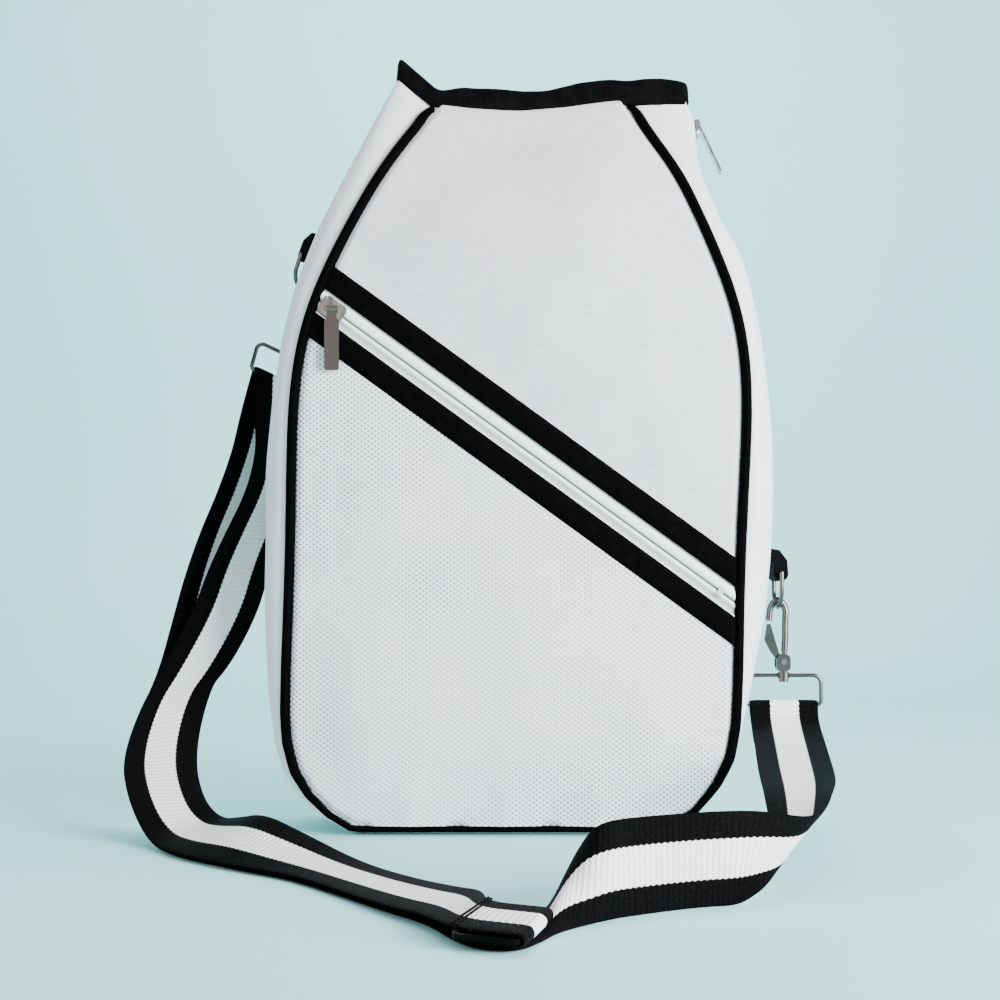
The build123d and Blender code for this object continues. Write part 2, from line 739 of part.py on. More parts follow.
# left end: the through layer goes over the left ring's lower bar and comes back
left_w = local(left_ring, 1, 0, 0) - local(left_ring, 0, 0, 0)
left_m = local(left_ring, 0, 1, 0) - local(left_ring, 0, 0, 0)
left_up = local(left_ring, 0, 0, 1) - local(left_ring, 0, 0, 0)
bar_start = local(left_ring, -webbing / 2, 0, -ring_drop)
bar_end = local(left_ring, webbing / 2, 0, -ring_drop)
through.append((tuple(bar_start + left_m * loop_r), tuple(bar_end + left_m * loop_r)))
return_upper.append((tuple(bar_start - left_m * loop_r), tuple(bar_end - left_m * loop_r)))
left_loop = half_loop(bar_start, left_w, left_up, loop_r)

# tri-glide: its middle bar holds the strap's end
glide_n = ribbon_normal(through, slider_station)
glide_left, glide_right = (vec(p) for p in through[slider_station])
glide_u = (glide_right - glide_left).normalized()
glide_t = glide_n.cross(glide_u)
glide_at = (glide_left + glide_right) * 0.5 + glide_n * slider_lift
glide_plane = Plane(origin=glide_at, x_dir=glide_t, z_dir=glide_n)
glide_bar_r = 1.0
glide_loop_r = 2.2
with BuildPart() as tri_glide:
    with BuildSketch(glide_plane.offset(-glide_bar_r)):
        RectangleRounded(27, 44.6, 4)
        with Locations((-6.2, 0), (6.2, 0)):
            RectangleRounded(10.4, 41.0, 1.5, mode=Mode.SUBTRACT)
    extrude(amount=2 * glide_bar_r)
glide_bar_start = glide_at - glide_u * (webbing / 2)
end_loop = half_loop(glide_bar_start, glide_u, tuple(glide_t * glide_turn), glide_loop_r)


def beside_glide(along, up):
    """Edge pair beside the tri-glide's middle bar."""
    mid = glide_at + glide_t * (glide_turn * -along) + glide_n * up
    half = glide_u * (webbing / 2)
    return tuple(mid - half), tuple(mid + half)


return_layer = [beside_glide(0.0, glide_loop_r), beside_glide(5.0, glide_loop_r), beside_glide(15.0, 2.2)]
return_layer += [lifted(through, 16, 5.2), lifted(through, 17, 3.4)]
return_layer += [lifted(through, i, 2.3) for i in range(18, join_station + 1)]
return_layer += return_upper
tail_glide = [beside_glide(0.0, -glide_loop_r), beside_glide(5.0, -glide_loop_r)]
tail_glide += [lifted(through, 16, 3.0)]

strap_parts = {
    "strap_through": [ribbon(through), right_loop, ribbon(tail_right)],
    "strap_return": [ribbon(return_layer), left_loop, end_loop, ribbon(tail_glide)],
}
for label, pieces in strap_parts.items():
    nodes[label] = Part() + pieces
nodes["tri_glide"] = tri_glide.part


named = {
    "front_upper_panel": front_upper_panel, "front_pocket_panel": front_pocket_panel,
    "upper_trim_band": upper_trim_band, "lower_trim_band": lower_trim_band,
    "front_tape_upper": front_tape_upper, "front_tape_lower": front_tape_lower,
    "front_zip_coil": front_zip_coil, "front_zip_stop": front_zip_stop, "pocket_lining": pocket_lining,
    "back_panel": back_panel, "back_pad": back_pad, "gusset_left": gusset_left,
    "gusset_base": gusset_base, "gusset_right_front": gusset_right_front,
    "gusset_right_back": gusset_right_back, "side_tape_front": side_tape_front,
    "side_tape_back": side_tape_back, "side_zip_coil": side_zip_coil, "side_zip_stop": side_zip_stop,
    "base_board": base_board, "front_piping": front_piping, "back_piping": back_piping,
    "top_binding": top_binding, "front_zip_slider": front_zip_slider,
    "front_pull_tab": front_pull_tab, "side_zip_slider": side_zip_slider,
    "side_pull_tab": side_pull_tab,
}
for label, builder in named.items():
    nodes[label] = builder.part
for label, solid in nodes.items():
    solid.label = label
    export_step(solid, "parts/" + label + ".step")
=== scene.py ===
"""Looks of a white paddle sling bag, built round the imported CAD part."""
import math
import random

import bmesh
import bpy
import numpy as np
from mathutils import Matrix, Vector, noise


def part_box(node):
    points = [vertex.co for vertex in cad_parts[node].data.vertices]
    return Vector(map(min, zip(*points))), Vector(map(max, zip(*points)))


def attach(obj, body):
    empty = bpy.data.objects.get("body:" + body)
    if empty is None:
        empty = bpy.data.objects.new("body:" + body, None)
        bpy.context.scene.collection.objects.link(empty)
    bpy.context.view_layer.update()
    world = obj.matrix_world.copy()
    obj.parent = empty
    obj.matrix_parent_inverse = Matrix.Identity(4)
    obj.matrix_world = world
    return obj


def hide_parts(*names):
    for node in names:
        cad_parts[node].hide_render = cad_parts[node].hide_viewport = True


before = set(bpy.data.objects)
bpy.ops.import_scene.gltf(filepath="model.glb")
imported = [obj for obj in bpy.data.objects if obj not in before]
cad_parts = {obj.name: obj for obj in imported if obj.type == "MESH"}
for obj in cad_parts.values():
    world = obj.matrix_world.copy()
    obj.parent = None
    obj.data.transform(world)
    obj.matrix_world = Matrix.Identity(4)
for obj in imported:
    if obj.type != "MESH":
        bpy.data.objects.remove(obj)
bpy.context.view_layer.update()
random.seed(7)

# ---------------------------------------------------------------- sizes, in metres
WEBBING = 0.040            # strap width
STRAP_T = 0.0016           # strap thickness
PIPING_R = 0.0028          # radius of the piping
SEAM_BACK = 0.0025         # the piping's middle lies this far behind the front face
PIPING_PROUD = 0.0006      # how far the soft piping stands forward of its CAD line
FACE_BACK = 0.0007         # the panels' face behind the piping's foremost line
BAND = (0.0068, 0.0200)    # black band beside the zip, from and to, measured across the zip
ZIP_FLAT = 0.0075          # half width of the flat strip that holds the side zip
RING_DROP = 0.0174         # from a ring's collar down to its lower bar
COIL_R = 0.0013            # radius of the side zip's coil
COIL_IN = 0.0024           # the side coil's middle, in from the tapes
FLOOR_GAP = 0.0002         # soft pieces stay this far above the floor
LOOP_R = 0.0022            # strap's middle round a ring's bar
GLIDE_LIFT = 0.0047        # tri-glide's middle above the through layer
GLIDE_LOOP_R = 0.0023      # strap's middle round the tri-glide's bar
GLIDE_BAR_AT = 0.01245     # the tri-glide's end bar, from its middle
BINDING_H = 0.0122         # height of the mouth's binding
EVEN_FROM = 0.070          # the outline is evened above this height
GUSSET_SLACK = 0.0022      # the soft gusset lies this far inside its CAD wall
EAR_FLARE = 2.4            # how the slack turns into a flare at the right ear
HOLLOW = 0.0058            # how far the soft right side falls in below the mouth
GUSSET_INSET = 0.0009      # the gusset's seam, in from the outline
CLOTH_T = 0.0015           # thickness of the front and back cloth
GUSSET_T = 0.0014          # thickness of the gusset cloth
TAPE_T = 0.0005            # thickness of a zip tape
BAND_T = 0.0008            # thickness of a black band
LINING_T = 0.0006          # thickness of the lining
BAND_LAP = 0.002           # how far the panels run in under the bands

# the zip's line on the front: its slope, and a point on it from the middle of its slider
SLOPE = math.radians(36.0)
ALONG = Vector((math.cos(SLOPE), 0, -math.sin(SLOPE)))
ACROSS = Vector((math.sin(SLOPE), 0, math.cos(SLOPE)))
slider_low, slider_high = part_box("front_zip_slider")
ZIP_AT = (slider_low + slider_high) / 2


# ---------------------------------------------------------------- camera
def make_camera():
    data = bpy.data.cameras.new("camera")
    data.lens = 50
    data.sensor_width = 36
    data.shift_y = 0.1
    data.dof.use_dof = False
    cam = bpy.data.objects.new("camera", data)
    cam.location = (-0.0088, -0.8015, 0.130)
    cam.rotation_euler = (math.pi / 2, 0, 0)
    bpy.context.scene.collection.objects.link(cam)
    bpy.context.scene.camera = cam


make_camera()


# ---------------------------------------------------------------- node wiring
class Net:
    """A material and short calls that wire its nodes."""

    def __init__(self, name, rough=0.8, metal=0.0):
        self.mat = bpy.data.materials.new(name)
        self.mat.use_nodes = True
        self.tree = self.mat.node_tree
        self.shader = self.tree.nodes["Principled BSDF"]
        self.shader.inputs["Roughness"].default_value = rough
        self.shader.inputs["Metallic"].default_value = metal

    def node(self, kind, **settings):
        made = self.tree.nodes.new(kind)
        for key, value in settings.items():
            setattr(made, key, value)
        return made

    def feed(self, socket, value):
        if isinstance(value, bpy.types.NodeSocket):
            self.tree.links.new(value, socket)
        else:
            socket.default_value = value

    def math(self, operation, *values):
        made = self.node("ShaderNodeMath", operation=operation)
        for socket, value in zip(made.inputs, values):
            self.feed(socket, value)
        return made.outputs[0]

    def cloth_uv(self):
        """Metres across and along the cloth."""
        uv = self.node("ShaderNodeUVMap", uv_map="cloth")
        split = self.node("ShaderNodeSeparateXYZ")
        self.feed(split.inputs[0], uv.outputs[0])
        return split.outputs[0], split.outputs[1]

    def place(self):
        return self.node("ShaderNodeTexCoord").outputs["Object"]

    def wave(self, value, pitch, phase=0.0):
        """Cosine of a length, one turn for each pitch."""
        turned = self.math("MULTIPLY_ADD", value, 2 * math.pi / pitch, phase)
        return self.math("COSINE", turned)

    def span(self, value, low, high, to_low=0.0, to_high=1.0):
        made = self.node("ShaderNodeMapRange", interpolation_type="SMOOTHSTEP")
        for socket, number in zip(made.inputs, (value, low, high, to_low, to_high)):
            self.feed(socket, number)
        return made.outputs[0]

    def noise(self, scale, detail=3.0, vector=None, stretch=None):
        made = self.node("ShaderNodeTexNoise")
        made.inputs["Scale"].default_value = scale
        made.inputs["Detail"].default_value = detail
        vector = vector or self.place()
        if stretch:
            mapping = self.node("ShaderNodeMapping")
            mapping.inputs["Scale"].default_value = stretch
            self.feed(mapping.inputs["Vector"], vector)
            vector = mapping.outputs[0]
        self.feed(made.inputs["Vector"], vector)
        return made.outputs["Fac"]

    def mix(self, share, first, second):
        made = self.node("ShaderNodeMix", data_type="RGBA")
        self.feed(made.inputs["Factor"], share)
        self.feed(made.inputs["A"], first)
        self.feed(made.inputs["B"], second)
        return made.outputs["Result"]

    def bump(self, height, distance, strength=1.0):
        made = self.node("ShaderNodeBump")
        made.inputs["Distance"].default_value = distance
        made.inputs["Strength"].default_value = strength
        self.feed(made.inputs["Height"], height)
        self.tree.links.new(made.outputs[0], self.shader.inputs["Normal"])

    def colour(self, value):
        self.feed(self.shader.inputs["Base Color"], value)

    def rough(self, value):
        self.feed(self.shader.inputs["Roughness"], value)

    def dull(self, level):
        self.shader.inputs["Specular IOR Level"].default_value = level

    def sheen(self, weight, rough=0.5):
        self.shader.inputs["Sheen Weight"].default_value = weight
        self.shader.inputs["Sheen Roughness"].default_value = rough


def rgb(r, g, b):
    return (r, g, b, 1.0)


def lattice(net, u, v, half_u, half_v):
    """1 at the holes of a diamond lattice and -1 between them."""
    return net.math("MULTIPLY", net.wave(u, 2 * half_u), net.wave(v, 2 * half_v))


def weave_material():
    """Fine dobby weave of the upper front: small low bumps on a diamond lattice."""
    net = Net("white_weave", 0.62)
    u, v = net.cloth_uv()
    dots = lattice(net, u, v, 0.00084, 0.00072)
    patch = net.noise(26, 2.0)
    hole_shade = net.span(dots, 0.1, 0.95)
    tone = net.mix(net.span(patch, 0.3, 0.75), rgb(0.82, 0.82, 0.85), rgb(0.90, 0.90, 0.92))
    # the lattice's holes are darkened in the colour: painted shade in the weave's hollows
    dark = net.mix(net.math("MULTIPLY", hole_shade, 0.95), tone, rgb(0.12, 0.12, 0.14))
    net.colour(dark)
    net.sheen(0.15)
    net.bump(net.math("MULTIPLY", dots, -1.0), 0.00018, 0.8)
    return net.mat


def mesh_material():
    """Coarser air mesh of the pocket: holes on a diamond lattice between white threads, darkened with
    painted shade.
    """
    net = Net("white_mesh", 0.6)
    u, v = net.cloth_uv()
    shake = net.math("MULTIPLY_ADD", net.noise(900, 1.0), 0.5, -0.25)
    dots = net.math("ADD", lattice(net, u, v, 0.00189, 0.00142), shake)
    # the holes are darkened to near-black in the colour: painted shade of the space behind the mesh,
    # stronger in random patches
    hole_shade = net.span(dots, 0.25, 0.9)
    hole_shade_strength = net.span(net.noise(14, 1.5), 0.35, 0.7, 0.45, 0.95)
    tone = net.mix(net.noise(60, 2.0), rgb(0.80, 0.80, 0.83), rgb(0.90, 0.90, 0.92))
    net.colour(net.mix(net.math("MULTIPLY", hole_shade, hole_shade_strength), tone, rgb(0.09, 0.09, 0.10)))
    net.sheen(0.1)
    net.bump(net.math("MULTIPLY", dots, -1.0), 0.00028, 0.8)
    return net.mat


def gusset_material():
    """Smooth coated canvas of the sides: a fine plain weave and faint creases."""
    net = Net("white_gusset", 0.5)
    u, v = net.cloth_uv()
    threads = net.math("MULTIPLY", net.wave(u, 0.0011), net.wave(v, 0.0011))
    crease = net.noise(40, 4.0, stretch=(1.0, 1.0, 0.35))
    tone = net.mix(net.noise(30, 2.0), rgb(0.80, 0.80, 0.82), rgb(0.88, 0.88, 0.89))
    net.colour(tone)
    net.rough(net.span(net.noise(55, 2.0), 0.3, 0.7, 0.42, 0.6))
    net.sheen(0.1)
    net.bump(net.math("MULTIPLY_ADD", threads, 0.04, crease), 0.0016, 0.35)
    return net.mat


def lining_material():
    """Grey woven lining inside the case."""
    net = Net("lining", 0.8)
    u, v = net.cloth_uv()
    threads = net.math("MULTIPLY", net.wave(u, 0.0009), net.wave(v, 0.0009))
    net.colour(net.mix(net.noise(80, 2.0), rgb(0.36, 0.36, 0.38), rgb(0.44, 0.44, 0.46)))
    net.bump(threads, 0.0001, 0.5)
    return net.mat


def band_material():
    """Black tape beside the zip: tight ribs across it with a dull sheen."""
    net = Net("black_band", 0.82)
    u, v = net.cloth_uv()
    ribs = net.math("MULTIPLY", net.wave(u, 0.0009), net.wave(v, 0.0014))
    # the black is a little lighter in random patches
    band_mottle = net.span(net.noise(220, 3.0), 0.45, 0.8)
    net.colour(net.mix(band_mottle, rgb(0.0004, 0.0004, 0.0005), rgb(0.0016, 0.0016, 0.0018)))
    net.dull(0.035)
    net.bump(ribs, 0.00012, 0.6)
    return net.mat


def binding_material():
    """Ribbed black ribbon that binds the mouth."""
    net = Net("binding_black", 0.7)
    u, v = net.cloth_uv()
    ribs = net.wave(u, 0.0010)
    lit = net.span(net.noise(140, 2.0), 0.4, 0.75)
    net.colour(net.mix(lit, rgb(0.0004, 0.0004, 0.0005), rgb(0.0024, 0.0024, 0.0026)))
    net.dull(0.05)
    net.bump(ribs, 0.00022, 0.8)
    return net.mat


def piping_material():
    """Black cloth over a cord: fine slanting threads."""
    net = Net("piping_black", 0.6)
    u, v = net.cloth_uv()
    slant = net.wave(net.math("ADD", u, v), 0.0008)
    lit = net.noise(300, 2.0)
    net.colour(net.mix(lit, rgb(0.0003, 0.0003, 0.0004), rgb(0.0011, 0.0011, 0.0012)))
    net.dull(0.02)
    net.bump(slant, 0.00008, 0.6)
    return net.mat


def tab_material():
    """Black webbing of the D-ring tabs, ribbed by place because the CAD node has no cloth map."""
    net = Net("tab_black", 0.75)
    split = net.node("ShaderNodeSeparateXYZ")
    net.feed(split.inputs[0], net.place())
    ribs = net.wave(split.outputs[1], 0.0012)
    rows = net.wave(split.outputs[2], 0.0016)
    lit = net.noise(260, 2.0)
    net.colour(net.mix(lit, rgb(0.0006, 0.0006, 0.0008), rgb(0.0030, 0.0030, 0.0034)))
    net.dull(0.06)
    net.bump(net.math("MULTIPLY", ribs, rows), 0.00025, 0.8)
    return net.mat


def zip_material():
    """Satin white zip tape with fine cross ribs."""
    net = Net("zip_white", 0.34)
    u, v = net.cloth_uv()
    ribs = net.wave(u, 0.0008)
    # the grey over the lower tape's ribbed band is painted shade under the coil's bulge, and the grey
    # line at the middle is painted shade in the gap between the tapes
    ribbed_shade_share = net.math("MULTIPLY", net.span(v, -0.0026, -0.0032), net.span(v, -0.0062, -0.0056))
    seam_shade_line = net.span(net.math("ABSOLUTE", v), 0.0010, 0.0003)
    tone = net.mix(ribbed_shade_share, rgb(1.0, 1.0, 0.99), rgb(0.48, 0.49, 0.48))
    net.colour(net.mix(seam_shade_line, tone, rgb(0.40, 0.40, 0.39)))
    net.rough(net.span(net.noise(90, 2.0), 0.3, 0.7, 0.28, 0.40))
    net.shader.inputs["Coat Weight"].default_value = 0.12
    net.shader.inputs["Coat Roughness"].default_value = 0.2
    net.bump(net.math("MULTIPLY", ribs, ribbed_shade_share), 0.00012, 0.6)
    return net.mat


def coil_material():
    """White nylon coil of a zip."""
    net = Net("zip_coil", 0.35)
    split = net.node("ShaderNodeSeparateXYZ")
    net.feed(split.inputs[0], net.place())
    turns = net.wave(split.outputs[0], 0.0013)
    # the colour is darker between the turns: painted shade in the gaps of the coil
    net.colour(net.mix(net.span(turns, -1.0, 1.0), rgb(0.6, 0.6, 0.6), rgb(0.85, 0.85, 0.85)))
    net.bump(turns, 0.0003, 0.8)
    return net.mat


def strap_material():
    """Black webbing with a white middle stripe, ribbed across, with a scalloped stripe edge."""
    net = Net("strap_webbing", 0.72)
    u, v = net.cloth_uv()
    scallop = net.math("MULTIPLY", net.wave(v, 0.0030), 0.00022)
    off_middle = net.math("ABSOLUTE", u)
    edge = net.math("ADD", off_middle, scallop)
    white = net.span(edge, 0.0080, 0.0086, 1.0, 0.0)
    rib = net.math("MULTIPLY", net.wave(v, 0.0014), net.wave(u, 0.0021))
    row = net.wave(v, 0.0028)
    fuzz = net.noise(700, 2.0)
    black = net.mix(net.span(fuzz, 0.4, 0.8), rgb(0.0005, 0.0005, 0.0006), rgb(0.0026, 0.0026, 0.0028))
    shade = net.span(net.math("ADD", rib, row), -1.6, 0.4)
    pale = net.mix(shade, rgb(0.86, 0.86, 0.86), rgb(1.0, 1.0, 1.0))
    net.colour(net.mix(white, black, pale))
    net.dull(0.05)
    net.bump(net.math("ADD", rib, row), 0.00026, 0.8)
    return net.mat


def thread_material(name, colour):
    """Sewing thread: uneven in colour and slightly rough."""
    net = Net(name, 0.8)
    net.dull(0.1)
    net.colour(net.mix(net.noise(1500, 1.0), colour, rgb(*(c * 0.6 for c in colour[:3]))))
    net.bump(net.noise(2500, 1.0), 0.0001, 0.5)
    return net.mat


def metal_material(name, colour, rough, streak=0.05, dark=0.72, dent=0.00003):
    """Plated metal with faint polishing streaks; with a low dark share, as on the slider metal, the
    strong dark mottle in its colour is painted reflection.
    """
    net = Net(name, rough, 1.0)
    marks_and_reflection_mottle = net.noise(350, 3.0, stretch=(1.0, 1.0, 0.2))
    dull = rgb(*(c * dark for c in colour[:3]))
    net.colour(net.mix(net.span(marks_and_reflection_mottle, 0.35, 0.8), colour, dull))
    net.rough(net.span(marks_and_reflection_mottle, 0.3, 0.8, rough, rough + streak * 2))
    net.bump(marks_and_reflection_mottle, dent, 0.4)
    return net.mat


def plastic_material():
    """Black moulded nylon of the tri-glide."""
    net = Net("black_glide", 0.42)
    grain = net.noise(900, 2.0)
    net.colour(net.mix(grain, rgb(0.0005, 0.0005, 0.0006), rgb(0.0014, 0.0014, 0.0016)))
    net.dull(0.04)
    net.bump(grain, 0.00005, 0.4)
    return net.mat


def foam_material():
    """Pale foam behind the back panel."""
    net = Net("foam", 0.9)
    cells = net.noise(600, 3.0)
    net.colour(net.mix(cells, rgb(0.55, 0.55, 0.53), rgb(0.72, 0.72, 0.70)))
    net.bump(cells, 0.0004, 0.6)
    return net.mat


def board_material():
    """Grey plastic stiffener in the base."""
    net = Net("board", 0.5)
    grain = net.noise(400, 2.0)
    net.colour(net.mix(grain, rgb(0.16, 0.16, 0.17), rgb(0.22, 0.22, 0.23)))
    net.bump(grain, 0.0001, 0.4)
    return net.mat


materials = {
    "white_weave": weave_material(),
    "white_mesh": mesh_material(),
    "white_gusset": gusset_material(),
    "lining": lining_material(),
    "black_band": band_material(),
    "binding_black": binding_material(),
    "piping_black": piping_material(),
    "tab_black": tab_material(),
    "zip_white": zip_material(),
    "zip_coil": coil_material(),
    "strap_webbing": strap_material(),
    "gunmetal": metal_material("gunmetal", rgb(0.125, 0.115, 0.105), 0.2),
    "rivet_metal": metal_material("rivet_metal", rgb(0.24, 0.22, 0.20), 0.22),
    "spring_steel": metal_material("spring_steel", rgb(0.5, 0.5, 0.5), 0.25),
    # the slider metal's strong dark mottle in the colour is painted reflection
    "slider_metal": metal_material("slider_metal", rgb(0.86, 0.83, 0.77), 0.14, 0.05, 0.28, 0.0012),
    "pull_metal": metal_material("pull_metal", rgb(0.20, 0.16, 0.145), 0.34),
    "black_glide": plastic_material(),
    "foam": foam_material(),
    "board": board_material(),
    "thread_black": thread_material("thread_black", rgb(0.0012, 0.0012, 0.0014)),
}


# ---------------------------------------------------------------- mesh helpers
def add_mesh(name, points, faces, material, uvs=None):
    """A new object from points, faces and, for each point, metres across and along the cloth."""
    mesh = bpy.data.meshes.new(name)
    mesh.from_pydata([tuple(p) for p in points], [], faces)
    if uvs is not None:
        layer = mesh.uv_layers.new(name="cloth")
        for loop in mesh.loops:
            layer.data[loop.index].uv = uvs[loop.vertex_index]
    mesh.materials.append(materials[material])
    mesh.validate()
    mesh.shade_smooth()
    obj = bpy.data.objects.new(name, mesh)
    bpy.context.scene.collection.objects.link(obj)
    return obj


def sheet_faces(rows, cols):
    return [(r * cols + c, r * cols + c + 1, (r + 1) * cols + c + 1, (r + 1) * cols + c)
            for r in range(rows - 1) for c in range(cols - 1)]


def tube_faces(rings, sides):
    """Faces round a tube and over its two ends."""
    faces = [(i * sides + k, i * sides + (k + 1) % sides,
              (i + 1) * sides + (k + 1) % sides, (i + 1) * sides + k)
             for i in range(rings - 1) for k in range(sides)]
    faces.append(tuple(range(sides))[::-1])
    faces.append(tuple((rings - 1) * sides + k for k in range(sides)))
    return faces


def step(value, low, high):
    """Smooth 0 to 1 as value goes from low to high."""
    t = np.clip((value - low) / (high - low), 0.0, 1.0)
    return t * t * (3 - 2 * t)


def nurbs_line(points, resolution=8):
    """Points read from a NURBS spline that has the route's points as its control points."""
    curve = bpy.data.curves.new("route", "CURVE")
    curve.dimensions = "3D"
    spline = curve.splines.new("NURBS")
    spline.points.add(len(points) - 1)
    for slot, point in zip(spline.points, points):
        slot.co = (*point, 1.0)
    spline.order_u = 3
    spline.use_endpoint_u = True
    spline.resolution_u = resolution
    obj = bpy.data.objects.new("route", curve)
    mesh = bpy.data.meshes.new_from_object(obj)
    line = [v.co.copy() for v in mesh.vertices]
    bpy.data.meshes.remove(mesh)
    bpy.data.objects.remove(obj)
    bpy.data.curves.remove(curve)
    return line


# ---------------------------------------------------------------- strap
THROUGH = [
    ((0.1393, 0.0198, 0.068), (0.1793, 0.0198, 0.068)),
    ((0.139, 0.0175, 0.061), (0.179, 0.0175, 0.061)),
    ((0.138, 0.008, 0.056), (0.178, 0.008, 0.056)),
    ((0.1347, -0.0167, 0.051), (0.1745, -0.0167, 0.051)),
    ((0.1254, -0.079, 0.0416), (0.1652, -0.077, 0.0419)),
    ((0.117, -0.146, 0.036), (0.1535, -0.131, 0.0396)),
    ((0.1029, -0.2095, 0.0009), (0.145, -0.174, 0.0393)),
    ((0.094, -0.212, 0.0004), (0.098, -0.204, 0.0396)),
    ((0.0756, -0.2153, 0.0004), (0.076, -0.214, 0.0403)),
    ((0.0488, -0.23, 0.0004), (0.048, -0.226, 0.0402)),
    ((0.0316, -0.2407, 0.0004), (0.0328, -0.2395, 0.0403)),
    ((0.0147, -0.2575, 0.0008), (0.022, -0.2265, 0.025)),
    ((0.0063, -0.277, 0.0009), (0.012, -0.2385, 0.006)),
    ((-0.0015, -0.29, 0.0009), (0.003, -0.2505, 0.0025)),
    ((-0.014, -0.29, 0.0009), (-0.002, -0.252, 0.0025)),
    ((-0.025, -0.279, 0.0009), (-0.008, -0.243, 0.004)),
    ((-0.038, -0.247, 0.0009), (-0.016, -0.214, 0.0035)),
    ((-0.056, -0.226, 0.0009), (-0.025, -0.201, 0.003)),
    ((-0.0786, -0.1956, 0.0009), (-0.046, -0.173, 0.0012)),
    ((-0.106, -0.159, 0.0009), (-0.076, -0.133, 0.0012)),
    ((-0.1326, -0.14, 0.0009), (-0.108, -0.11, 0.013)),
    ((-0.15, -0.125, 0.0009), (-0.127, -0.098, 0.02)),
    ((-0.17, -0.106, 0.0009), (-0.144, -0.078, 0.0145)),
    ((-0.194, -0.07, 0.0025), (-0.156, -0.062, 0.011)),
    ((-0.2085, -0.055, 0.022), (-0.169, -0.052, 0.02)),
    ((-0.22, -0.024, 0.038), (-0.181, -0.02, 0.042)),
    ((-0.2165, 0.002, 0.066), (-0.1785, 0.006, 0.076)),
    ((-0.207, 0.009, 0.09), (-0.1685, 0.015, 0.095)),
    ((-0.2, 0.014, 0.122), (-0.164, 0.031, 0.126)),
    ((-0.194, 0.018, 0.147), (-0.163, 0.043, 0.15)),
    ((-0.186, 0.02, 0.171), (-0.157, 0.0475, 0.173)),
    ((-0.176, 0.022, 0.195), (-0.148, 0.0505, 0.196)),
    ((-0.168, 0.024, 0.219), (-0.141, 0.0535, 0.219)),
    ((-0.1635, 0.0235, 0.237), (-0.136, 0.051, 0.234)),
]
# the return layer above its flat stretch, from there to the left ring
RETURN_UPPER = [
    ((-0.2045, 0.003, 0.089), (-0.1655, 0.008, 0.093)),
    ((-0.1875, 0.006, 0.122), (-0.1515, 0.023, 0.125)),
    ((-0.179, 0.0065, 0.147), (-0.147, 0.0305, 0.1485)),
    ((-0.168, 0.008, 0.171), (-0.1396, 0.036, 0.172)),
    ((-0.1575, 0.0125, 0.194), (-0.131, 0.0425, 0.195)),
    ((-0.1525, 0.0165, 0.218), (-0.126, 0.0465, 0.218)),
    ((-0.1535, 0.0185, 0.237), (-0.125, 0.0455, 0.234)),
]
GLIDE_STATION = 14         # where the tri-glide lies along the through layer
JOIN_STATION = 26          # where the return layer leaves the through layer
RETURN_LIFT = 0.0023


def normal_of(pairs, i):
    """Direction out of the ribbon's face at a station."""
    before, after = pairs[max(i - 1, 0)], pairs[min(i + 1, len(pairs) - 1)]
    along = after[0] + after[1] - before[0] - before[1]
    return (pairs[i][1] - pairs[i][0]).cross(along).normalized()


def lifted(pairs, i, by):
    n = normal_of(pairs, i) * by
    return pairs[i][0] + n, pairs[i][1] + n


def vectors(pairs):
    return [(Vector(a), Vector(b)) for a, b in pairs]


def round_bar(start, end, side, top, r):
    """Edge pairs that take the webbing over a ring's bar, from the -side face to the +side face."""
    turns = ((-1, -1.2), (-1, 0), (-0.72, 0.72), (0, 1), (0.72, 0.72), (1, 0), (1, -1.2))
    return [(start + side * (a * r) + top * (b * r), end + side * (a * r) + top * (b * r))
            for a, b in turns]


def ribbon_lines(pairs):
    """Fine edge points of a ribbon of even width, from its edge pairs."""
    lefts = nurbs_line([p[0] for p in pairs])
    rights = nurbs_line([p[1] for p in pairs])
    fine = []
    for left, right in zip(lefts, rights):
        middle = (left + right) / 2
        half = (right - left).normalized() * (WEBBING / 2)
        fine.append((middle - half, middle + half))
    return fine


def ribbon(name, fine):
    """Webbing with rounded edges through fine edge pairs."""
    half_cols = 10
    across = [math.sin(math.pi / 2 * (2 * k / (2 * half_cols) - 1)) for k in range(2 * half_cols + 1)]
    points, uvs = [], []
    run = 0.0
    for i, (left, right) in enumerate(fine):
        middle = (left + right) / 2
        if i:
            run += (middle - (fine[i - 1][0] + fine[i - 1][1]) / 2).length
        n = normal_of(fine, i)
        half = (right - left) / 2
        for sign, order in ((1, across), (-1, across[-2:0:-1])):
            for a in order:
                swell = math.sqrt(max(0.0, 1 - abs(a) ** 14)) * STRAP_T / 2
                at = middle + half * a + n * (sign * swell)
                points.append(Vector((at.x, at.y, max(at.z, FLOOR_GAP))))
                uvs.append((a * half.length, run))
    return add_mesh(name, points, tube_faces(len(fine), 4 * half_cols), "strap_webbing", uvs)


def stitches(name, spots, length, width):
    """Short rounded stitches: each spot is (place, direction, outward)."""
    points, faces = [], []
    for at, direction, out in spots:
        d = direction.normalized()
        o = out.normalized()
        s = d.cross(o).normalized()
        base = len(points)
        for k in (-1.0, -0.8, 0.8, 1.0):
            size = 0.35 if abs(k) == 1.0 else 1.0
            for m in range(6):
                turn = m * math.pi / 3
                ring = s * (math.cos(turn) * width / 2) + o * (math.sin(turn) * width / 3)
                points.append(at + d * (k * length / 2) + ring * size)
        faces += [tuple(base + q for q in f) for f in tube_faces(4, 6)]
    return add_mesh(name, points, faces, "thread_black", [(0, 0)] * len(points))


def on_ribbon(fine, near, across, up):
    """Place, cross direction and outward direction on a ribbon, at its station nearest to a point."""
    i = min(range(len(fine)), key=lambda k: ((fine[k][0] + fine[k][1]) / 2 - near).length)
    left, right = fine[i]
    n = normal_of(fine, i)
    return (left + right) / 2 + (right - left) / 2 * across + n * up, right - left, n


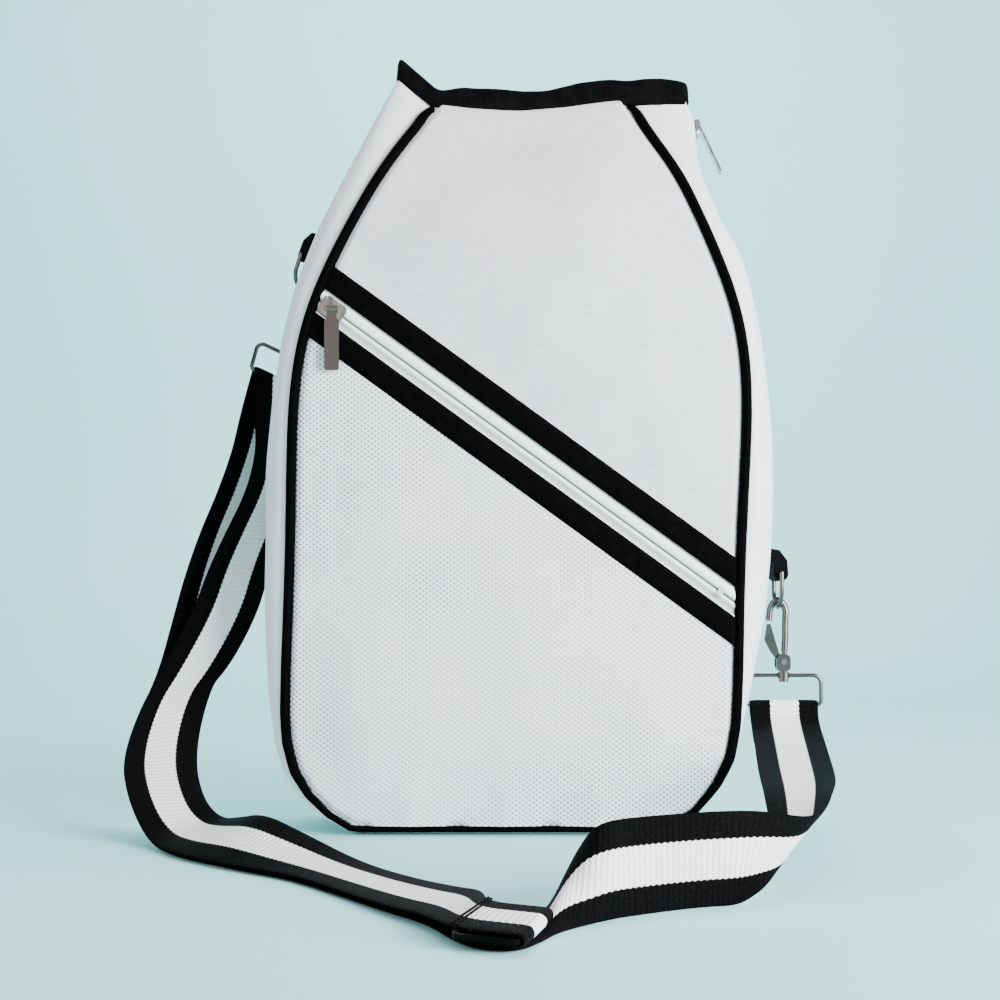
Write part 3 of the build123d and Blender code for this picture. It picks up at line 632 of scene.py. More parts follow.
through = vectors(THROUGH)
RIGHT_COLLAR = Vector((0.1593, 0.022, 0.0854))
LEFT_COLLAR = Vector((-0.136, 0.037, 0.277))
left_ring = (Matrix.Translation(LEFT_COLLAR) @ Matrix.Rotation(math.radians(40), 4, "Z")
             @ Matrix.Rotation(math.radians(17), 4, "Y"))
ring_side = left_ring.to_3x3() @ Vector((0, 1, 0))
ring_up = left_ring.to_3x3() @ Vector((0, 0, 1))
left_bar = (left_ring @ Vector((-WEBBING / 2, 0, -RING_DROP)),
            left_ring @ Vector((WEBBING / 2, 0, -RING_DROP)))
right_bar = (RIGHT_COLLAR + Vector((-WEBBING / 2, 0, -RING_DROP)),
             RIGHT_COLLAR + Vector((WEBBING / 2, 0, -RING_DROP)))

# right end: the tail lies behind, the webbing goes over the bar and comes down in front
behind = STRAP_T + 0.0002
tail = [lifted(through, 3, behind), lifted(through, 2, behind)]
over_right = round_bar(right_bar[0], right_bar[1], Vector((0, -1, 0)), Vector((0, 0, 1)), LOOP_R)
right_end = tail + over_right
through_end = [(left_bar[0] + ring_side * LOOP_R, left_bar[1] + ring_side * LOOP_R)]
through_main = through[1:] + through_end
through_fine = ribbon_lines(right_end + through_main)
through_route = nurbs_line([(a + b) / 2 for a, b in [over_right[3]] + through_main])
strap_through = ribbon("strap_through_web", through_fine)

# the tri-glide's place, above the through layer
glide_n = normal_of(through, GLIDE_STATION)
glide_left, glide_right = through[GLIDE_STATION]
glide_u = (glide_right - glide_left).normalized()
glide_t = glide_n.cross(glide_u)
glide_at = (glide_left + glide_right) / 2 + glide_n * GLIDE_LIFT


def beside_glide(along, up):
    """Edge pair beside the tri-glide's middle bar."""
    middle = glide_at + glide_t * along + glide_n * up
    half = glide_u * (WEBBING / 2)
    return middle - half, middle + half


# the return layer: tail under the glide's bar, round it, then over and along to the left ring
LOOP = GLIDE_LOOP_R
BAR = -GLIDE_BAR_AT
return_tail = [beside_glide(0.012, -LOOP), beside_glide(BAR + 0.004, -LOOP), beside_glide(BAR, -LOOP)]
return_turn = [beside_glide(BAR - 0.7 * LOOP, -0.7 * LOOP), beside_glide(BAR - LOOP, 0),
               beside_glide(BAR - 0.7 * LOOP, 0.7 * LOOP)]
return_main = [beside_glide(BAR, LOOP), beside_glide(BAR + 0.005, LOOP), beside_glide(0.0125, LOOP)]
forward = Vector((0, -0.0050, 0))       # the return layer leaves the glide a little in front
return_main += [tuple(p + forward for p in lifted(through, 16, 0.0046))]
return_main += [tuple(p + forward * 0.7 for p in lifted(through, 17, 0.0032))]
return_main += [lifted(through, i, RETURN_LIFT) for i in range(18, JOIN_STATION + 1)]
return_main += vectors(RETURN_UPPER)
over_left = round_bar(left_bar[0], left_bar[1], ring_side, ring_up, LOOP_R)
return_fine = ribbon_lines(return_tail + return_turn + return_main + over_left[1:-1])
return_route = nurbs_line([(a + b) / 2 for a, b in return_main + over_left[1:4]])
strap_return = ribbon("strap_return_web", return_fine)


def stitch_rows(fine, rows_at, up):
    """Rows of stitches across a ribbon, at its stations nearest to the given points."""
    spots = []
    for near in rows_at:
        for k in range(-6, 7):
            spots.append(on_ribbon(fine, near, k * 0.155, up))
    return spots


top_of = STRAP_T * 0.60
right_rows = [(through[1][0] + through[1][1]) / 2 + Vector((0, 0, dz)) for dz in (-0.0025, -0.0060)]
right_spots = stitch_rows(through_fine, right_rows, top_of)
glide_rows = [glide_at + glide_t * d + glide_n * LOOP for d in (0.0150, 0.0225)]
glide_spots = stitch_rows(return_fine, glide_rows, top_of)
stitch_right = stitches("strap_stitches_right", right_spots, 0.0030, 0.0011)
stitch_glide = stitches("strap_stitches_glide", glide_spots, 0.0030, 0.0013)
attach(strap_through, "case")
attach(strap_return, "case")
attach(stitch_right, "case")
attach(stitch_glide, "case")
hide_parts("strap_through")
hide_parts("strap_return")


# ---------------------------------------------------------------- the case's outline, read from the frame
def node_lines(*names):
    """End points of the mesh edges of some CAD nodes."""
    ends = []
    for name in names:
        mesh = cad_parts[name].data
        co = np.array([v.co for v in mesh.vertices])
        pairs = np.array([e.vertices[:] for e in mesh.edges])
        ends.append(co[pairs])
    return np.concatenate(ends)


def cut(lines, axis, at):
    """Lowest and highest corner of where the edges cross a plane."""
    a, b = lines[:, 0], lines[:, 1]
    hit = (a[:, axis] - at) * (b[:, axis] - at) <= 0
    hit &= np.abs(a[:, axis] - b[:, axis]) > 1e-9
    a, b = a[hit], b[hit]
    t = (at - a[:, axis]) / (b[:, axis] - a[:, axis])
    met = a + (b - a) * t[:, None]
    return met.min(0), met.max(0)


piping_lines = node_lines("front_piping")
wall_lines = node_lines("gusset_left", "gusset_base")
arc_lines = node_lines("side_tape_front", "gusset_base")
PANEL_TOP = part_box("back_panel")[1].z
LEFT_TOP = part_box("gusset_left")[1].z
RIGHT_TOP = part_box("gusset_right_front")[1].z
heights = [0.0006, 0.0012, 0.002, 0.003, 0.0045, 0.0065, 0.009, 0.012, 0.016, 0.021, 0.027, 0.034,
           0.042, 0.051]
heights += list(np.arange(0.060, 0.4091, 0.0075)) + [0.4095]
rows = [cut(piping_lines, 2, h) for h in heights]
OUT_Z = np.array(heights + [PANEL_TOP])
OUT_L = np.array([low[0] for low, high in rows])
OUT_R = np.array([high[0] for low, high in rows])
OUT_Y = np.array([low[1] for low, high in rows])


def grown(values):
    """The list with one more value, carried on in a straight line."""
    slope = (values[-2] - values[-3]) / (heights[-2] - heights[-3])
    last = [values[-2] + slope * (h - heights[-2]) for h in (heights[-1], PANEL_TOP)]
    return np.append(values[:-1], last)


def evened(values):
    """The list with small jumps between neighbours taken out above the rounded corners."""
    soft = values.copy()
    for _ in range(4):
        middle = (soft[:-2] + 2 * soft[1:-1] + soft[2:]) / 4
        soft[1:-1] = np.where(OUT_Z[1:-1] > EVEN_FROM, middle, soft[1:-1])
    return soft


OUT_L, OUT_R, OUT_Y = evened(grown(OUT_L)), evened(grown(OUT_R)), evened(grown(OUT_Y))
PATH = np.concatenate([np.stack([OUT_L, OUT_Z], 1)[::-1], np.stack([OUT_R, OUT_Z], 1)])


def path_normals(path):
    ahead = np.vstack([path[1:], path[-1:]]) - np.vstack([path[:1], path[:-1]])
    size = np.linalg.norm(ahead, axis=1)[:, None]
    ahead = ahead / size
    return np.stack([ahead[:, 1], -ahead[:, 0]], 1)


NORMALS = path_normals(PATH)
COUNT = len(OUT_Z)


def edge_distance(x, z):
    """How far inside the outline points of the front lie."""
    steps = np.linspace(0, 1, 4)[:-1]
    fine = np.concatenate([PATH[:-1] * (1 - t) + PATH[1:] * t for t in steps])
    keep = fine[:, 1] < PANEL_TOP - 0.001
    flat = np.stack([np.ravel(x), np.ravel(z)], 1)
    gap = np.sqrt(((flat[:, None, :] - fine[keep][None]) ** 2).sum(2)).min(1)
    return gap.reshape(np.shape(x))


# how the mouth's line rises and dips along x, at the panel's top: place in x, then height
MOUTH_WAVE = [(-0.090, 0.0), (-0.062, 0.0015), (-0.044, 0.0), (-0.024, -0.0024), (0.003, -0.0036),
              (0.030, -0.0014), (0.056, 0.0022), (0.072, 0.0016), (0.105, -0.0030), (0.120, -0.003)]
# the same for the height of the binding's top above that line
RIM_WAVE = [(-0.090, 0.0), (-0.058, -0.0005), (-0.042, -0.0034), (-0.030, 0.0002), (-0.014, 0.0004),
            (0.018, -0.0014), (0.036, 0.0016), (0.050, 0.0012), (0.064, -0.0004), (0.084, 0.0012),
            (0.100, -0.0012)]


def along_wave(table, x):
    xs, values = np.array(table).T
    fine = np.linspace(xs[0], xs[-1], 240)
    line = np.interp(fine, xs, values)
    kernel = np.hanning(17)
    smooth = np.convolve(np.pad(line, 8, mode="edge"), kernel / kernel.sum(), mode="valid")
    return np.interp(x, fine, smooth)


def settled(points):
    """Points moved as the soft mouth has settled."""
    points = np.array(points, float)
    share = step(points[..., 2], 0.335, 0.411)
    points[..., 2] += along_wave(MOUTH_WAVE, points[..., 0]) * share
    return points


def ripple(points, scale, seed):
    """Seeded noise from -1 to 1 at points, with a separate stretch for each axis."""
    flat = np.reshape(points, (-1, 3))
    values = [noise.noise(Vector((p[0] * scale[0] + seed, p[1] * scale[1], p[2] * scale[2])))
              for p in flat]
    return np.array(values).reshape(np.shape(points)[:-1])


def front_face(z):
    """Depth of the front panels' face at a height."""
    return np.interp(z, OUT_Z, OUT_Y) + FACE_BACK


def zip_distance(x, z):
    return (x - ZIP_AT.x) * ACROSS.x + (z - ZIP_AT.z) * ACROSS.z


def puff(x, z, edge):
    """How far the filled front stands out from its flat face."""
    w = zip_distance(x, z)
    spread = step(edge, 0.004, 0.060) * (1 - step(z, 0.345, PANEL_TOP - 0.010))
    above = step(w, 0.016, 0.075) * 0.0052
    below = step(-w, 0.016, 0.085) * 0.0050
    at = np.stack([x, np.zeros_like(x), z], -1)
    waves = ripple(at, (13, 1, 9), 3.1) * 0.0024 + ripple(at, (30, 1, 22), 8.4) * 0.0006
    free = np.maximum(step(w, 0.016, 0.040), step(-w, 0.016, 0.040))
    free *= 1 - step(z, 0.385, PANEL_TOP - 0.004)
    return spread * (above + below) + waves * step(edge, 0.008, 0.034) * free


def panel_grid(inset, cols, top_extra=0.004):
    """Rows of points (x, z) over a panel, from its base to its mouth."""
    inner = PATH - NORMALS * inset
    left, right = inner[:COUNT][::-1], inner[COUNT:]
    at = np.linspace(0, COUNT - 1, 3 * COUNT)
    index = np.arange(COUNT)
    left = np.stack([np.interp(at, index, left[:, k]) for k in (0, 1)], 1)
    right = np.stack([np.interp(at, index, right[:, k]) for k in (0, 1)], 1)
    t = np.linspace(0, 1, cols)
    t = 0.6 * t + 0.4 * (0.5 - 0.5 * np.cos(np.pi * t))
    left[-1, 1] = right[-1, 1] = PANEL_TOP + top_extra
    return left[:, None, :] * (1 - t[None, :, None]) + right[:, None, :] * t[None, :, None]


def panel_points(inset, cols, filled=1.0, lift=0.0):
    grid = panel_grid(inset, cols)
    x, z = grid[..., 0], grid[..., 1]
    edge = edge_distance(x, z)
    y = front_face(z) - lift - puff(x, z, edge) * filled
    y += 0.0022 * (1 - step(edge, PANEL_INSET, 0.0090))
    return settled(np.stack([x, y, z], -1))


def solidify(obj, thick, offset=-1.0):
    shell = obj.modifiers.new("thickness", "SOLIDIFY")
    shell.thickness = thick
    shell.offset = offset


def grid_object(name, points, uvs, material, flip=False):
    n_rows, n_cols = points.shape[:2]
    faces = sheet_faces(n_rows, n_cols)
    if flip:
        faces = [f[::-1] for f in faces]
    return add_mesh(name, points.reshape(-1, 3), faces, material, uvs.reshape(-1, 2))


def cut_away(obj, at, normal):
    """Removes what lies on the normal's side of a plane."""
    shape = bmesh.new()
    shape.from_mesh(obj.data)
    bmesh.ops.bisect_plane(shape, geom=shape.verts[:] + shape.edges[:] + shape.faces[:],
                           plane_co=at, plane_no=normal, clear_outer=True)
    shape.to_mesh(obj.data)
    shape.free()
    obj.data.shade_smooth()


PANEL_COLS = 110
PANEL_INSET = 2 * PIPING_R - 0.0008
front_points = panel_points(PANEL_INSET, PANEL_COLS)
front_uv = front_points[..., [0, 2]]
upper = grid_object("front_upper_cloth", front_points, front_uv, "white_weave")
cut_away(upper, ZIP_AT + ACROSS * (BAND[0] + BAND_LAP), -ACROSS)
solidify(upper, CLOTH_T)
pocket = grid_object("front_pocket_cloth", front_points, front_uv, "white_mesh")
cut_away(pocket, ZIP_AT - ACROSS * (BAND[0] + BAND_LAP), ACROSS)
solidify(pocket, CLOTH_T)
back_points = panel_points(PANEL_INSET, 70, filled=0.6)
back_points[..., 1] *= -1
back = grid_object("back_cloth", back_points, back_points[..., [0, 2]], "white_weave", flip=True)
solidify(back, CLOTH_T)
lining_points = panel_points(0.0085, 40, filled=0.0, lift=-0.008)
lining = grid_object("pocket_lining_cloth", lining_points, lining_points[..., [0, 2]], "lining")
cut_away(lining, ZIP_AT + ACROSS * BAND[1], ACROSS)
solidify(lining, LINING_T)


# ---------------------------------------------------------------- bands and zip tapes on the front
def zip_reach(w, inset):
    """How far a line beside the zip runs each way before it meets the outline."""
    ends = []
    for sense in (-1, 1):
        low, high = 0.0, 0.30
        for _ in range(24):
            s = (low + high) / 2
            at = ZIP_AT + ALONG * (sense * s) + ACROSS * w
            left = np.interp(at.z, OUT_Z, OUT_L) + inset
            right = np.interp(at.z, OUT_Z, OUT_R) - inset
            if left < at.x < right:
                low = s
            else:
                high = s
        ends.append(sense * low)
    return ends


def zip_strip(name, profile, material, inset=0.003, cols=180):
    """A strip along the zip from its cross profile: pairs of (across, out of the panels' face)."""
    points, uvs = [], []
    for w, out in profile:
        start, end = zip_reach(w, inset)
        for k in range(cols):
            s = start + (end - start) * k / (cols - 1)
            at = ZIP_AT + ALONG * s + ACROSS * w
            points.append((at.x, front_face(at.z) - out, at.z))
            uvs.append((s, w))
    points = np.array(points).reshape(len(profile), cols, 3)
    edge = edge_distance(points[..., 0], points[..., 2])
    points[..., 1] += 0.0018 * (1 - step(edge, 0.0022, 0.0075))
    return grid_object(name, points, np.array(uvs).reshape(len(profile), cols, 2), material)


def band_profile(low, high):
    """A flat tape whose two edges are turned down and rounded."""
    steps = np.linspace(low, high, 9)
    bulge = np.array([0.0004, 0.0010, 0.00115, 0.0012, 0.0012, 0.0012, 0.00115, 0.0010, 0.0002])
    return list(zip(steps, bulge))


band_upper = zip_strip("band_upper_tape", band_profile(*BAND), "black_band")
band_lower = zip_strip("band_lower_tape", band_profile(-BAND[1], -BAND[0]), "black_band")
# rounded folds of the closed zip's two tapes
tape_upper_profile = [
    (0.0002, -0.0010), (0.0005, -0.0005), (0.0011, 0.0001), (0.0020, 0.0005), (0.0031, 0.0006),
    (0.0042, 0.0003), (0.0052, -0.0003), (0.0062, -0.0009), (0.0074, -0.0012),
]
tape_lower_profile = [
    (-0.0074, -0.0010), (-0.0067, -0.0002), (-0.0063, 0.0002), (-0.0058, -0.0002),
    (-0.0055, -0.0007), (-0.0045, -0.0008), (-0.0034, -0.0008), (-0.0028, -0.0006),
    (-0.0024, -0.0001), (-0.0018, 0.0003), (-0.0012, 0.0002), (-0.0006, -0.0002),
    (-0.0002, -0.0007),
]
tape_upper = zip_strip("zip_tape_upper", tape_upper_profile, "zip_white")
tape_lower = zip_strip("zip_tape_lower", tape_lower_profile, "zip_white")
for piece in (tape_upper, tape_lower):
    solidify(piece, TAPE_T)
for piece in (band_upper, band_lower):
    solidify(piece, BAND_T)


# ---------------------------------------------------------------- gussets
def half_depth(z):
    """Depth from the middle to the seam in the piping."""
    return -(np.interp(z, OUT_Z, OUT_Y)) - SEAM_BACK - 0.0006


TIP_Z = np.concatenate([np.arange(0.006, 0.05, 0.006), np.arange(0.053, 0.424, 0.006),
                        [LEFT_TOP - 0.0002]])
LEFT_TIP = np.array([cut(wall_lines, 2, z)[0][0] for z in TIP_Z])
ARC_Z = np.append(TIP_Z[TIP_Z < 0.414], RIGHT_TOP - 0.0002)
RIGHT_TIP = np.array([cut(arc_lines, 2, z)[1][0] for z in ARC_Z])


def gusset_stations():
    """Outline point, outline normal and the bulge's tip, from the left top round to the right top."""
    stations = []
    index = np.linspace(0, len(PATH) - 1, 3 * len(PATH))
    base = np.arange(len(PATH))
    for i in index:
        p = np.array([np.interp(i, base, PATH[:, k]) for k in (0, 1)])
        n = np.array([np.interp(i, base, NORMALS[:, k]) for k in (0, 1)])
        n /= np.linalg.norm(n)
        left = i < COUNT - 0.5
        slack = GUSSET_SLACK * step(p[1], 0.010, 0.050)
        if p[1] < 0.006:
            tip = p + n * 0.0003
        elif left:
            tip_z = p[1] + (LEFT_TOP - PANEL_TOP) * step(p[1], 0.27, PANEL_TOP)
            tip = np.array([np.interp(tip_z, TIP_Z, LEFT_TIP) + slack, tip_z])
        else:
            tip_z = p[1] + (RIGHT_TOP - PANEL_TOP) * step(p[1], 0.38, PANEL_TOP)
            hollow = step(tip_z, 0.320, 0.350) * (1 - step(tip_z, 0.372, 0.400))
            flare = step(tip_z, 0.390, 0.412)
            fall = slack * (1 - EAR_FLARE * flare) + HOLLOW * hollow
            tip = np.array([np.interp(tip_z, ARC_Z, RIGHT_TIP) - fall, tip_z])
        stations.append((p, n, tip))
    return stations


def across_gusset(share):
    """Share of the bulge reached at a share of the way from the flat strip to the seam."""
    return (1 - np.clip(share, 0, 1) ** 2.2) ** 0.446


def gusset_points(stations, sides):
    """Rows round the case; sides are places across it, -1 at the front seam and 1 at the back."""
    points, uvs = [], []
    run = 0.0
    last = None
    for p, n, tip in stations:
        d = half_depth(p[1])
        flat = min(ZIP_FLAT, d * 0.5)
        if last is not None:
            run += np.linalg.norm(tip - last)
        last = tip
        for a in sides:
            y = a * d
            share = max(0.0, (abs(y) - flat) / (d - flat))
            f = across_gusset(share)
            at = p - n * GUSSET_INSET * (1 - f) + (tip - p) * f
            points.append((at[0], y, at[1]))
            uvs.append((y, run))
    shape = (len(stations), len(sides))
    points = np.array(points).reshape(*shape, 3)
    return points, np.array(uvs).reshape(*shape, 2)


def crease(points, stations, sides, seed, size=0.0011):
    """Soft folds in the gusset, none at its seams."""
    outs = np.array([n for _, n, _ in stations])
    fade = 1 - np.abs(np.array(sides)) ** 4
    folds = ripple(points, (16, 34, 11), seed) + 0.4 * ripple(points, (40, 60, 34), seed + 5)
    low = step(points[..., 2], 0.004, 0.05)
    amount = folds * size * fade[None, :] * low
    points[..., 0] += outs[:, 0][:, None] * amount
    points[..., 2] += outs[:, 1][:, None] * amount
    return points


stations = gusset_stations()
RIGHT_FROM = next(i for i, s in enumerate(stations) if i > len(stations) / 2 and s[0][1] > 0.052)
main_sides = np.sin(np.linspace(-1, 1, 45) * math.pi / 2)
left_part = stations[:RIGHT_FROM + 1]
left_pts, left_uv = gusset_points(left_part, main_sides)
left_pts = settled(crease(left_pts, left_part, main_sides, 2.0))
left_pts[..., 2] = np.maximum(left_pts[..., 2], FLOOR_GAP)
gusset_left = grid_object("gusset_left_cloth", left_pts, left_uv, "white_gusset")
solidify(gusset_left, GUSSET_T)

right_part = stations[RIGHT_FROM:]
right_objects = []
for side_name, sense in (("front", -1), ("back", 1)):
    part_points, part_uvs = [], []
    for station in right_part:
        d = half_depth(station[0][1])
        start = min(ZIP_FLAT, d * 0.5) / d
        sides = [sense * (start + (1 - start) * math.sin(k / 20 * math.pi / 2)) for k in range(21)]
        p, u = gusset_points([station], sides)
        part_points.append(p[0])
        part_uvs.append(u[0])
    pts = np.array(part_points)
    uv = np.array(part_uvs)
    uv[..., 1] = np.linspace(0, 0.40, len(right_part))[:, None]
    pts = settled(crease(pts, right_part, sides, 6.0, 0.0009))
    piece = grid_object("gusset_right_" + side_name + "_cloth", pts, uv, "white_gusset", flip=sense < 0)
    solidify(piece, GUSSET_T)
    right_objects.append(piece)


def side_tape(name, sense):
    """One tape of the side zip: (across, outward) along the arc."""
    profile = [(0.0006, -0.0014), (0.0008, -0.0003), (0.0016, 0.0002), (0.0028, 0.0003),
               (0.0042, 0.0001), (0.0055, -0.0003), (0.0068, -0.0004), (0.0080, -0.0006)]
    points, uvs = [], []
    run = 0.0
    last = None
    for p, n, tip in right_part:
        if last is not None:
            run += np.linalg.norm(tip - last)
        last = tip
        for y, out in profile:
            points.append((tip[0] + n[0] * out, sense * y, tip[1] + n[1] * out))
            uvs.append((run, y))
    points = settled(np.array(points).reshape(len(right_part), len(profile), 3))
    uvs = np.array(uvs).reshape(len(right_part), len(profile), 2)
    piece = grid_object(name, points, uvs, "zip_white", flip=sense < 0)
    solidify(piece, TAPE_T)
    return piece


side_front = side_tape("side_tape_front_web", -1)
side_back = side_tape("side_tape_back_web", 1)


# ---------------------------------------------------------------- piping
def tube(name, line, radii, material, sides=14):
    """A round tube along a line, with its own radius at each point."""
    points, uvs = [], []
    line = [Vector(p) for p in line]
    tangent = (line[1] - line[0]).normalized()
    side = tangent.orthogonal().normalized()
    run = 0.0
    for i, at in enumerate(line):
        ahead = (line[min(i + 1, len(line) - 1)] - line[max(i - 1, 0)]).normalized()
        side = (side - ahead * side.dot(ahead)).normalized()
        up = ahead.cross(side)
        if i:
            run += (at - line[i - 1]).length
        for k in range(sides):
            turn = 2 * math.pi * k / sides
            points.append(at + (side * math.cos(turn) + up * math.sin(turn)) * radii[i])
            uvs.append((radii[i] * turn, run))
    return add_mesh(name, points, tube_faces(len(line), sides), material, uvs)


def piping(name, sense):
    inner = PATH - NORMALS * PIPING_R
    index = np.linspace(0, len(inner) - 1, 3 * len(inner))
    base = np.arange(len(inner))
    x = np.interp(index, base, inner[:, 0])
    z = np.interp(index, base, inner[:, 1])
    y = -sense * (np.interp(z, OUT_Z, OUT_Y) + SEAM_BACK - PIPING_PROUD)
    line = settled(np.stack([x, y, z], -1))
    thin = 1 - 0.42 * (1 - step(z, 0.004, 0.040))
    thin *= 1 - 0.45 * step(z, PANEL_TOP - 0.010, PANEL_TOP - 0.001)
    wobble = ripple(line, (60, 60, 60), 4.4) * 0.03 + 1
    line[:, 2] = np.maximum(line[:, 2], PIPING_R * thin + 0.0003)
    return tube(name, line, PIPING_R * thin * wobble, "piping_black")


def side_coil():
    """The side zip's coil, just inside the two tapes."""
    line = [(tip[0] - n[0] * COIL_IN, 0.0, tip[1] - n[1] * COIL_IN) for p, n, tip in right_part]
    line = settled(np.array(line))
    return tube("side_zip_coil_web", line, [COIL_R] * len(line), "zip_coil", 10)


side_coil_web = side_coil()
front_piping = piping("front_piping_cord", -1)
back_piping = piping("back_piping_cord", 1)


# ---------------------------------------------------------------- mouth binding
def mouth_line():
    """The mouth's line: front from left to right, then back from right to left."""
    left_row, _ = gusset_points(stations[:1], np.linspace(0.0, -1.0, 14))
    right_row, _ = gusset_points(stations[-1:], np.linspace(-1.0, 0.0, 14))
    front = panel_grid(PIPING_R, 40, 0.0)[-1]
    y = float(front_face(PANEL_TOP)) + 0.0006
    middle = np.stack([front[:, 0], np.full(len(front), y), np.full(len(front), PANEL_TOP)], 1)
    half = np.concatenate([left_row[0][:-1], middle[1:-1], right_row[0][1:]])
    other = half[::-1][1:-1] * np.array([1, -1, 1])
    return np.concatenate([half, other])


def binding():
    raw = mouth_line()
    closed = np.vstack([raw, raw[:1]])
    lengths = np.append(0, np.cumsum(np.linalg.norm(np.diff(closed, axis=0), axis=1)))
    count = 260
    at = np.linspace(0, lengths[-1], count, endpoint=False)
    line = np.stack([np.interp(at, lengths, closed[:, k]) for k in range(3)], 1)
    kernel = np.hanning(9)
    kernel /= kernel.sum()
    line = np.stack([np.convolve(np.r_[line[-4:, k], line[:, k], line[:4, k]], kernel, mode="valid")
                     for k in range(3)], 1)
    line = settled(line)
    top = along_wave(RIM_WAVE, line[:, 0])
    # cross section: (outward, up), up as a share of the binding's height
    section = [(0.0016, -0.2), (0.0020, 0.15), (0.0019, 0.5), (0.0016, 0.8), (0.0010, 0.95),
               (0.0, 1.0), (-0.0010, 0.95), (-0.0016, 0.8), (-0.0017, 0.5), (-0.0018, 0.15),
               (-0.0014, -0.2), (0.0, -0.24)]
    points, uvs = [], []
    for i in range(count):
        ahead = line[(i + 1) % count] - line[i - 1]
        out = np.array([ahead[1], -ahead[0], 0.0])
        out /= np.linalg.norm(out)
        high = BINDING_H + top[i]
        slack = 0.0007 * noise.noise(Vector((line[i][0] * 45, line[i][1] * 45, 1.7)))
        for o, up in section:
            lean = slack * max(0.0, up) * 2
            points.append(line[i] + out * (o + lean) + np.array([0, 0, up * high]))
            uvs.append((at[i], up * high))
    sides = len(section)
    faces = [(i * sides + k, i * sides + (k + 1) % sides,
              ((i + 1) % count) * sides + (k + 1) % sides, ((i + 1) % count) * sides + k)
             for i in range(count) for k in range(sides)]
    piece = add_mesh("mouth_binding", points, faces, "binding_black", uvs)
    seam = []
    for i in range(count):
        ahead = Vector(line[(i + 1) % count] - line[i - 1])
        out = Vector((ahead.y, -ahead.x, 0)).normalized()
        place = Vector(line[i]) + out * 0.0021 + Vector((0, 0, 0.0012))
        seam.append((place, ahead, out))
    thread = stitches("binding_stitches", seam, 0.0016, 0.0004)
    return piece, thread


mouth_binding, binding_thread = binding()


# ---------------------------------------------------------------- back pad
def back_padding():
    grid = panel_grid(0.012, 36)
    x, z = grid[..., 0], np.minimum(grid[..., 1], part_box("back_pad")[1].z)
    low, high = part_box("back_pad")
    edge = edge_distance(x, z)
    crown = np.sqrt(np.clip(step(edge, 0.010, 0.030), 0, 1))
    channel = 1 - 0.45 * np.exp(-((np.mod(z, 0.060) - 0.030) / 0.004) ** 2)
    thick = 0.0022 * crown * channel
    middle = -(front_face(z) + 0.0050)
    outer = np.stack([x, middle + thick, z], -1)
    inner = np.stack([x, middle - thick, z], -1)
    rows_, cols_ = x.shape
    points = np.concatenate([outer.reshape(-1, 3), inner.reshape(-1, 3)])
    n = rows_ * cols_
    faces = [f[::-1] for f in sheet_faces(rows_, cols_)]
    faces += [tuple(q + n for q in f) for f in sheet_faces(rows_, cols_)]
    rim = list(range(cols_)) + [r * cols_ + cols_ - 1 for r in range(1, rows_)]
    rim += [(rows_ - 1) * cols_ + c for c in range(cols_ - 2, -1, -1)]
    rim += [r * cols_ for r in range(rows_ - 2, 0, -1)]
    faces += [(a, b, b + n, a + n) for a, b in zip(rim, rim[1:] + rim[:1])]
    uv = np.concatenate([grid.reshape(-1, 2)] * 2)
    return add_mesh("back_pad_foam", points, faces, "foam", uv)


back_pad = back_padding()

# ---------------------------------------------------------------- riding and replacing; the table also lists slots
carried = [
    (upper, "white_weave", ["front_upper_panel"]),
    (pocket, "white_mesh", ["front_pocket_panel"]),
    (back, "white_weave", ["back_panel"]),
    (lining, "lining", ["pocket_lining"]),
    (band_upper, "black_band", ["upper_trim_band"]),
    (band_lower, "black_band", ["lower_trim_band"]),
    (tape_upper, "zip_white", ["front_tape_upper"]),
    (tape_lower, "zip_white", ["front_tape_lower"]),
    (gusset_left, "white_gusset", ["gusset_left", "gusset_base"]),
    (right_objects[0], "white_gusset", ["gusset_right_front"]),
    (right_objects[1], "white_gusset", ["gusset_right_back"]),
    (side_front, "zip_white", ["side_tape_front"]),
    (side_back, "zip_white", ["side_tape_back"]),
    (front_piping, "piping_black", ["front_piping"]),
    (back_piping, "piping_black", ["back_piping"]),
    (side_coil_web, "zip_coil", ["side_zip_coil"]),
    (mouth_binding, "binding_black", ["top_binding"]),
    (binding_thread, "binding_black", []),
    (back_pad, "foam", ["back_pad"]),
]
for piece, slot, stands_for in carried:
    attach(piece, "case")
    if stands_for:
        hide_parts(*stands_for)

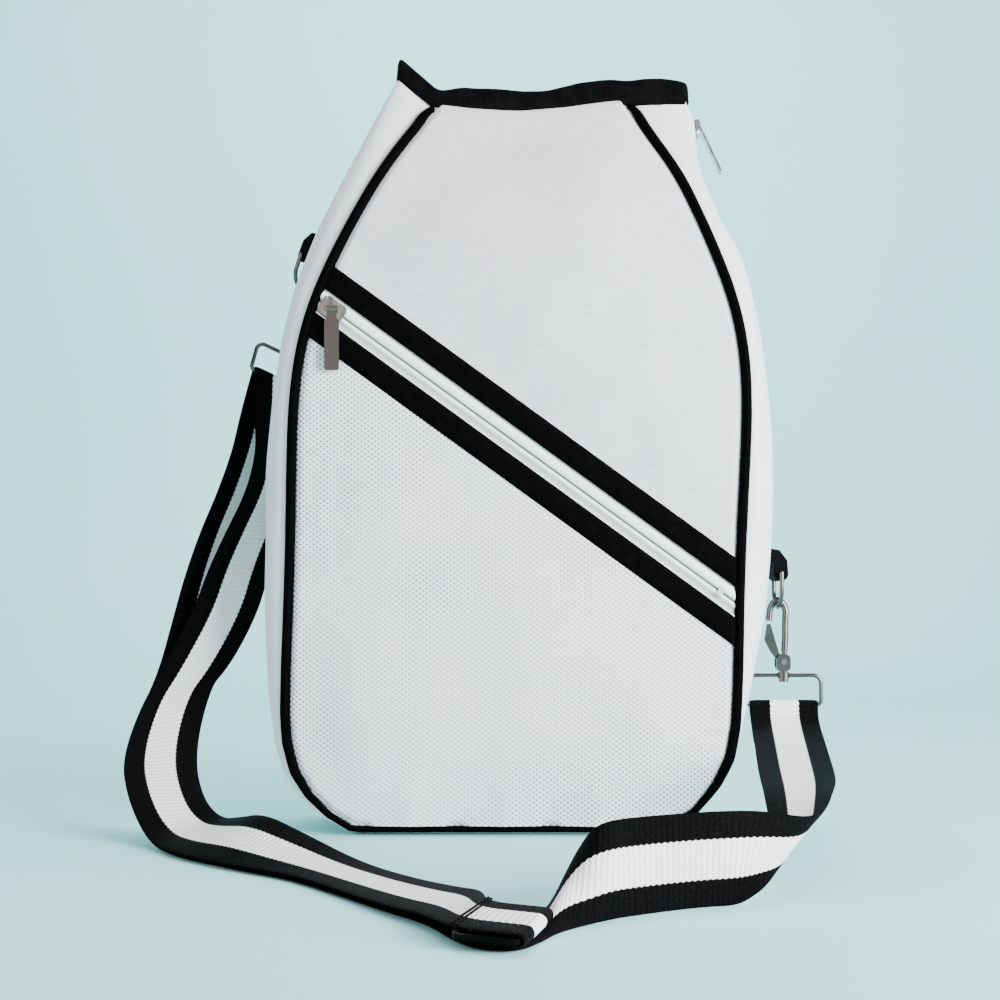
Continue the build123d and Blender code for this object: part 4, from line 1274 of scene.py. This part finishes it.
# ---------------------------------------------------------------- CAD nodes that stay
kept = {
    "front_zip_coil": "zip_coil", "front_zip_stop": "zip_coil",
    "side_zip_stop": "slider_metal", "base_board": "board", "front_zip_slider": "slider_metal",
    "side_zip_slider": "slider_metal", "front_pull_tab": "pull_metal", "side_pull_tab": "slider_metal",
    "tri_glide": "black_glide",
}
for side in ("right", "left"):
    kept.update({"ring_" + side: "gunmetal", "hook_" + side: "gunmetal", "gate_" + side: "gunmetal",
                 "rivet_" + side: "rivet_metal", "gate_spring_" + side: "spring_steel",
                 "d_ring_" + side: "gunmetal", "d_tab_" + side: "tab_black"})
for node, material in kept.items():
    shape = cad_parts[node].data
    if not shape.materials:
        shape.materials.append(None)
    for i in range(len(shape.materials)):
        shape.materials[i] = materials[material]


# ---------------------------------------------------------------- floor, backdrop and light
def backdrop_material():
    """Plain pale blue-green paper with a faint mottle."""
    net = Net("backdrop", 0.9)
    net.colour(net.mix(net.noise(3.0, 1.0), rgb(0.42, 0.88, 0.88), rgb(0.46, 0.90, 0.90)))
    return net.mat


def studio():
    """A floor that curves up into a backdrop."""
    profile = [(-3.0, 0.0), (1.0, 0.0)]
    bend, middle = 0.6, 1.0
    profile += [(middle + bend * math.sin(a), bend - bend * math.cos(a))
                for a in np.linspace(0.1, math.pi / 2, 12)]
    profile += [(middle + bend, 3.0)]
    points = [(x, y, z - 0.0002) for y, z in profile for x in (-3.0, 3.0)]
    faces = [(2 * i, 2 * i + 1, 2 * i + 3, 2 * i + 2) for i in range(len(profile) - 1)]
    materials["backdrop"] = backdrop_material()
    floor = add_mesh("studio_floor", points, faces, "backdrop")


def area_light(name, at, target, size, power):
    data = bpy.data.lights.new(name, "AREA")
    data.shape = "RECTANGLE"
    data.size, data.size_y = size
    data.energy = power
    obj = bpy.data.objects.new(name, data)
    obj.location = at
    obj.rotation_euler = (Vector(target) - Vector(at)).to_track_quat("-Z", "Y").to_euler()
    bpy.context.scene.collection.objects.link(obj)


studio()
area_light("key", (1.05, -0.90, 0.42), (0.02, 0, 0.2), (0.7, 0.7), 58)
area_light("fill", (-1.3, -1.4, 0.5), (0, 0, 0.15), (1.0, 1.0), 11)
area_light("top", (0.0, -0.1, 1.9), (0, 0, 0.1), (1.4, 1.4), 9)
area_light("wash", (0.0, 0.45, 1.5), (0, 1.6, 0.45), (1.6, 0.5), 26)
world = bpy.data.worlds.new("studio")
world.use_nodes = True
world.node_tree.nodes["Background"].inputs[0].default_value = (0.97, 0.93, 0.96, 1)
world.node_tree.nodes["Background"].inputs[1].default_value = 0.50
bpy.context.scene.world = world
